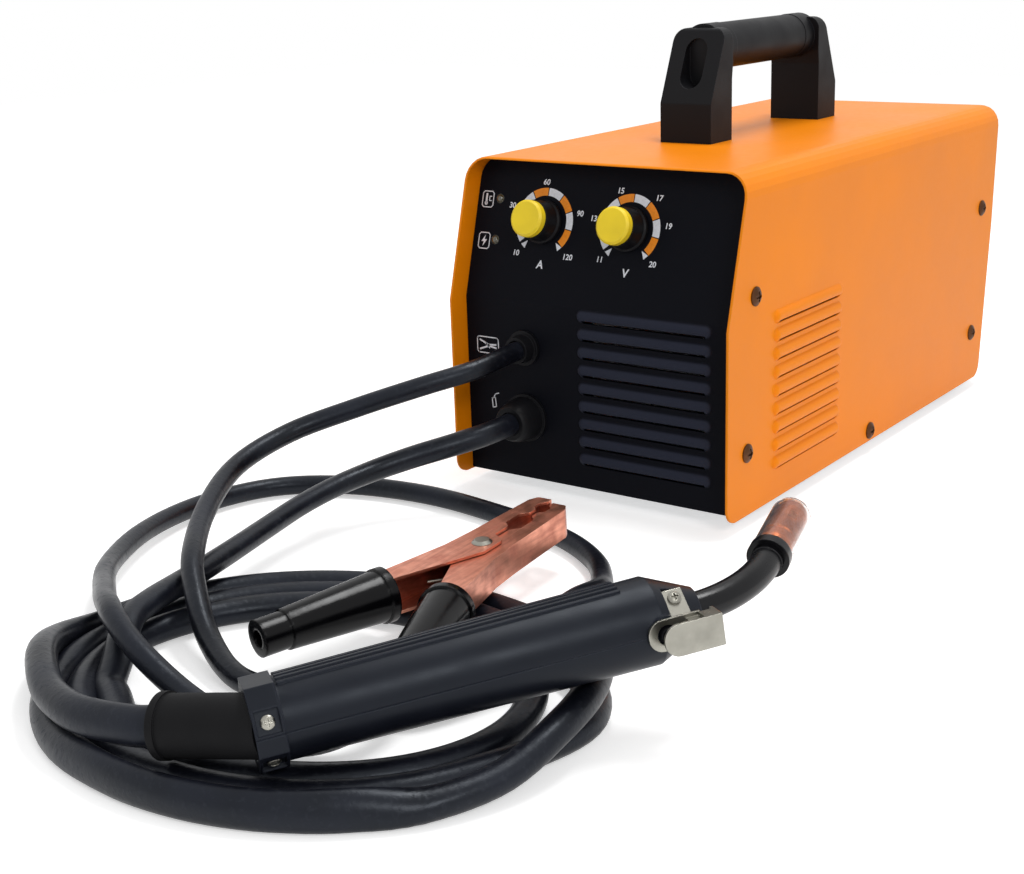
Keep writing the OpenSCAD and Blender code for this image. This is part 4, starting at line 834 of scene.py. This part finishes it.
# %% Outlines of marks
def ring_part(inner, outer, start, end, steps=10):
    """Part of a ring, from start to end degrees clockwise from the top."""
    turns = [math.radians(start + (end - start) * k / steps) for k in range(steps + 1)]
    return ([(outer * math.sin(a), outer * math.cos(a)) for a in reversed(turns)]
            + [(inner * math.sin(a), inner * math.cos(a)) for a in turns])


def bars(points, width, closed):
    """A bar of even width from each point to the next, half a width longer at its ends."""
    for (ax, ay), (bx, by) in zip(points, points[1:] + points[:1] if closed else points[1:]):
        long = math.hypot(bx - ax, by - ay)
        ux, uy = (bx - ax) / long * width / 2, (by - ay) / long * width / 2
        yield [(ax - ux + uy, ay - uy - ux), (bx + ux + uy, by + uy - ux),
               (bx + ux - uy, by + uy + ux), (ax - ux - uy, ay - uy + ux)]


print("a quarter ring has", len(ring_part(1, 2, 0, 90)), "corners")

# %% The print of one ink
class Print:
    """All marks of one ink, collected in one mesh."""

    FILM = (0.03, 0.08)  # underside and top of the ink, in millimetres over the coat

    def __init__(self):
        self.mesh = bmesh.new()

    def plate(self, outline, where):
        """A flat mark with the given outline in millimetres."""
        low, high = ([self.mesh.verts.new(where @ (Vector((x, y, z)) * MM)) for x, y in outline]
                     for z in self.FILM)
        self.mesh.faces.new(low[::-1])
        self.mesh.faces.new(high)
        for k in range(len(outline)):
            j = (k + 1) % len(outline)
            self.mesh.faces.new((low[k], low[j], high[j], high[k]))

    def line(self, points, width, where, closed=False):
        """A line of even width through points."""
        for bar in bars(points, width, closed):
            self.plate(bar, where)

    def text(self, body, size, where, slant):
        """Letters or figures centred on the frame, made a little bolder than the font."""
        low, high = self.FILM
        data = bpy.data.curves.new("figures", "FONT")
        data.body, data.size, data.shear = body, size * MM, slant
        data.align_x, data.align_y = "CENTER", "CENTER"
        data.extrude, data.offset = (high - low) / 2 * MM, size * 0.02 * MM
        data.resolution_u = 4
        holder = into_scene("figures", data)
        drawn = holder.evaluated_get(bpy.context.evaluated_depsgraph_get())
        solid = drawn.to_mesh()
        solid.transform(where @ Matrix.Translation((0, 0, (high + low) / 2 * MM)))
        self.mesh.from_mesh(solid)
        drawn.to_mesh_clear()
        bpy.data.objects.remove(holder)

    def finish(self, name, material):
        """Turn the marks into a piece that rides on the machine."""
        bmesh.ops.recalc_face_normals(self.mesh, faces=self.mesh.faces)
        piece = mesh_piece(name, self.mesh)
        dress(piece, material)
        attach(piece, "machine")
        print(name, len(piece.data.polygons), "faces")


white_print, orange_print = Print(), Print()
print("two inks to print with")

# %% [markdown]
# ### The two dials
# Each scale is a ring of bright fields, orange and white in turn, three quarters of a
# circle long, with a small pointer at each end. The figures stand round it and the
# unit below it. A printed picture would blur from near by, so each mark is a plate of
# its own, and one function lays out both dials.

# %% Scales, figures and units
RING_IN, RING_OUT = 14.4, 18.6                 # millimetres from the middle
FIELDS, FIRST, FIELD, GAP = 8, -130, 33, 0.9   # how many, and their angles in degrees
POINTER_AT, TIP, FOOT, HALF = 139, 14.0, 18.4, 1.7
FIGURE_SIZE, UNIT_SIZE = 4.3, 6.2
AMPERES_X, VOLTS_X, DIAL_UP = -39.7, 14.8, 44.5


def scale(x, up, marks, unit):
    """One dial round (x, up). A mark is its figures, their angle and their distance."""
    dial = leaning(x, up)
    for k in range(FIELDS):
        start = FIRST + FIELD * k
        ink = orange_print if k % 2 else white_print
        ink.plate(ring_part(RING_IN, RING_OUT, start + GAP, start + FIELD - GAP), dial)
    for side in (-1, 1):
        a = math.radians(POINTER_AT * side)
        sine, cosine = math.sin(a), math.cos(a)
        white_print.plate([(FOOT * sine + HALF * cosine, FOOT * cosine - HALF * sine),
                           (FOOT * sine - HALF * cosine, FOOT * cosine + HALF * sine),
                           (TIP * sine, TIP * cosine)], dial)
    for figures, turn, reach in marks:
        a = math.radians(turn)
        where = leaning(x + reach * math.sin(a), up + reach * math.cos(a))
        white_print.text(figures, FIGURE_SIZE, where, slant=0.1)
    white_print.text(unit, UNIT_SIZE, leaning(x + 0.5, up - 23.3), slant=0.15)


scale(AMPERES_X, DIAL_UP, [("10", -138, 24.2), ("30", -71, 23.6), ("60", -4, 21.6),
                           ("90", 75, 23.3), ("120", 135, 25.2)], "A")
scale(VOLTS_X, DIAL_UP, [("11", -137, 23.6), ("13", -80, 23.4), ("15", -23, 21.4),
                         ("17", 42, 23.2), ("19", 82, 23.3), ("20", 136, 23.9)], "V")
print("scales laid out")

# %% [markdown]
# ### Small signs
# Next to the lamps stand a thermometer and a bolt, and next to the leads a clamp and a
# torch. They are the plain signs that any such machine carries, drawn with lines of
# even width, all but the torch in a box with cut corners.

# %% Signs beside the lamps
def cut_box(half_x, half_y, cut):
    """A box round the middle with its corners cut off."""
    return [(-half_x + cut, -half_y), (half_x - cut, -half_y),
            (half_x, -half_y + cut), (half_x, half_y - cut),
            (half_x - cut, half_y), (-half_x + cut, half_y),
            (-half_x, half_y - cut), (-half_x, -half_y + cut)]


heat_sign, power_sign = leaning(-79.2, 54.6), leaning(-78.4, 31.6)
for where in (heat_sign, power_sign):
    white_print.line(cut_box(3.7, 4.4, 1.1), 0.55, where, closed=True)
white_print.line([(-1.0, -2.0), (-1.0, 2.6)], 1.2, heat_sign)
white_print.plate([(-1.0 + 1.1 * math.cos(k), -2.2 + 1.1 * math.sin(k))
                   for k in [math.tau * i / 12 for i in range(12)]], heat_sign)
white_print.line([(2.2, 1.6), (1.0, 1.6), (1.0, -0.8), (2.2, -0.8)], 0.5, heat_sign)
white_print.plate([(0.2, 0.7), (1.9, 0.7), (-0.8, -3.2),
                   (-0.2, -0.5), (-1.9, -0.5), (0.7, 3.2)], power_sign)
print("lamp signs drawn,", len(white_print.mesh.faces), "faces so far")

# %% Signs beside the leads
earth_sign, torch_sign = upright(-72.0, 75.0), upright(-68.4, 43.2)
white_print.line(cut_box(7.3, 4.6, 1.0), 0.6, earth_sign, closed=True)
white_print.line([(-5.2, 2.6), (0.6, 0.2), (5.4, 0.6)], 1.0, earth_sign)
white_print.line([(-5.2, -2.6), (0.6, -0.4), (5.4, -1.2)], 1.0, earth_sign)
white_print.line([(-1.2, 1.0), (1.0, -1.4)], 0.7, earth_sign)
white_print.line([(2.6, 4.6), (0.4, 3.8), (-0.9, 1.4)], 0.6, torch_sign)
white_print.line([(-1.9, 1.2), (0.3, 1.8), (0.9, -3.6), (-1.5, -4.2)], 0.6, torch_sign, closed=True)
print("lead signs drawn,", len(white_print.mesh.faces), "faces so far")

# %% Two inks
def ink(name, colour):
    """Satin ink with a faint change of shade."""
    finish = Finish(name, Specular_IOR_Level=0.3)
    fade = finish.grain(0.0012, detail=3).clipped(0.3, 0.75)
    finish.feed(Base_Color=finish.blend(fade, colour, tuple(c * 0.84 for c in colour)),
                Roughness=0.42 + 0.15 * fade)
    finish.bump(fade, 0.00001, strength=0.4)
    return finish.material


white_print.finish("white_scale_print", ink("white_ink", tone(226, 229, 236)))
orange_print.finish("orange_scale_print", ink("orange_ink", tone(240, 142, 32)))

# %% [markdown]
# ## Studio
# The machine stands on a white floor in even light. More light would bleach the
# machine too, so floor and sky only look whiter than they are: for the camera, for
# gloss and for glass the floor glows a little and the sky is full white, while what
# they give to the machine is less. The floor keeps the machine's shadow. A soft lamp
# above and another at the right give the forms a direction.

# %% What the camera, gloss and glass see
def shown(shader):
    """1 where the camera, gloss or glass looks, 0 where light is only gathered."""
    rays = shader.node("ShaderNodeLightPath").socket.node.outputs
    camera, glossy, glass = (Signal(shader, rays[f"Is {kind} Ray"])
                             for kind in ("Camera", "Glossy", "Transmission"))
    return (camera + glossy + glass).clipped(0, 1)


print("three kinds of rays see the studio white")

# %% The floor
FLOOR_HALF, FLOOR_Z = 2.5, -0.0004  # metres
FLOOR_GLOW = 0.46


def make_floor():
    """A white plate just under the machine, with a glow that lights nothing."""
    mesh = bmesh.new()
    bmesh.ops.create_grid(mesh, x_segments=1, y_segments=1, size=FLOOR_HALF)
    plate = mesh_piece("floor", mesh)
    plate.location.z = FLOOR_Z
    finish = Finish("white_floor", Base_Color=(0.9, 0.9, 0.9, 1), Roughness=0.9,
                    Specular_IOR_Level=0.0, Emission_Strength=1.0)
    finish.feed(Emission_Color=finish.blend(shown(finish), (0.0,) * 3, (FLOOR_GLOW,) * 3))
    plate.data.materials.append(finish.material)


make_floor()
print("floor", 2 * FLOOR_HALF, "m wide")

# %% Sky and lamps
SKY_LIGHT, SKY_SHOWN = 0.60, 0.40  # what the sky gives, and what it adds where it is seen


def lamp(name, place, towards, size, power):
    """A soft oblong lamp of that size in metres and power in watts."""
    data = bpy.data.lights.new(name, "AREA")
    data.shape, data.size, data.size_y, data.energy = "RECTANGLE", *size, power
    made = into_scene(name, data)
    made.location = place
    made.rotation_euler = (Vector(towards) - Vector(place)).to_track_quat("-Z", "Y").to_euler()


scene.world = bpy.data.worlds.new("sky")
sky = Shader(scene.world, "Background")
sky.shader.inputs["Color"].default_value = (1, 1, 1, 1)
sky.feed(Strength=SKY_LIGHT + SKY_SHOWN * shown(sky))
lamp("lamp_above", place=(0.10, 0.10, 1.35), towards=(0.0, -0.15, 0.0), size=(0.7, 0.25), power=9.0)
lamp("lamp_right", place=(1.15, -1.05, 0.95), towards=(0.0, -0.2, 0.08), size=(0.5, 0.3), power=6.0)
print(len(bpy.data.lights), "lamps lit")
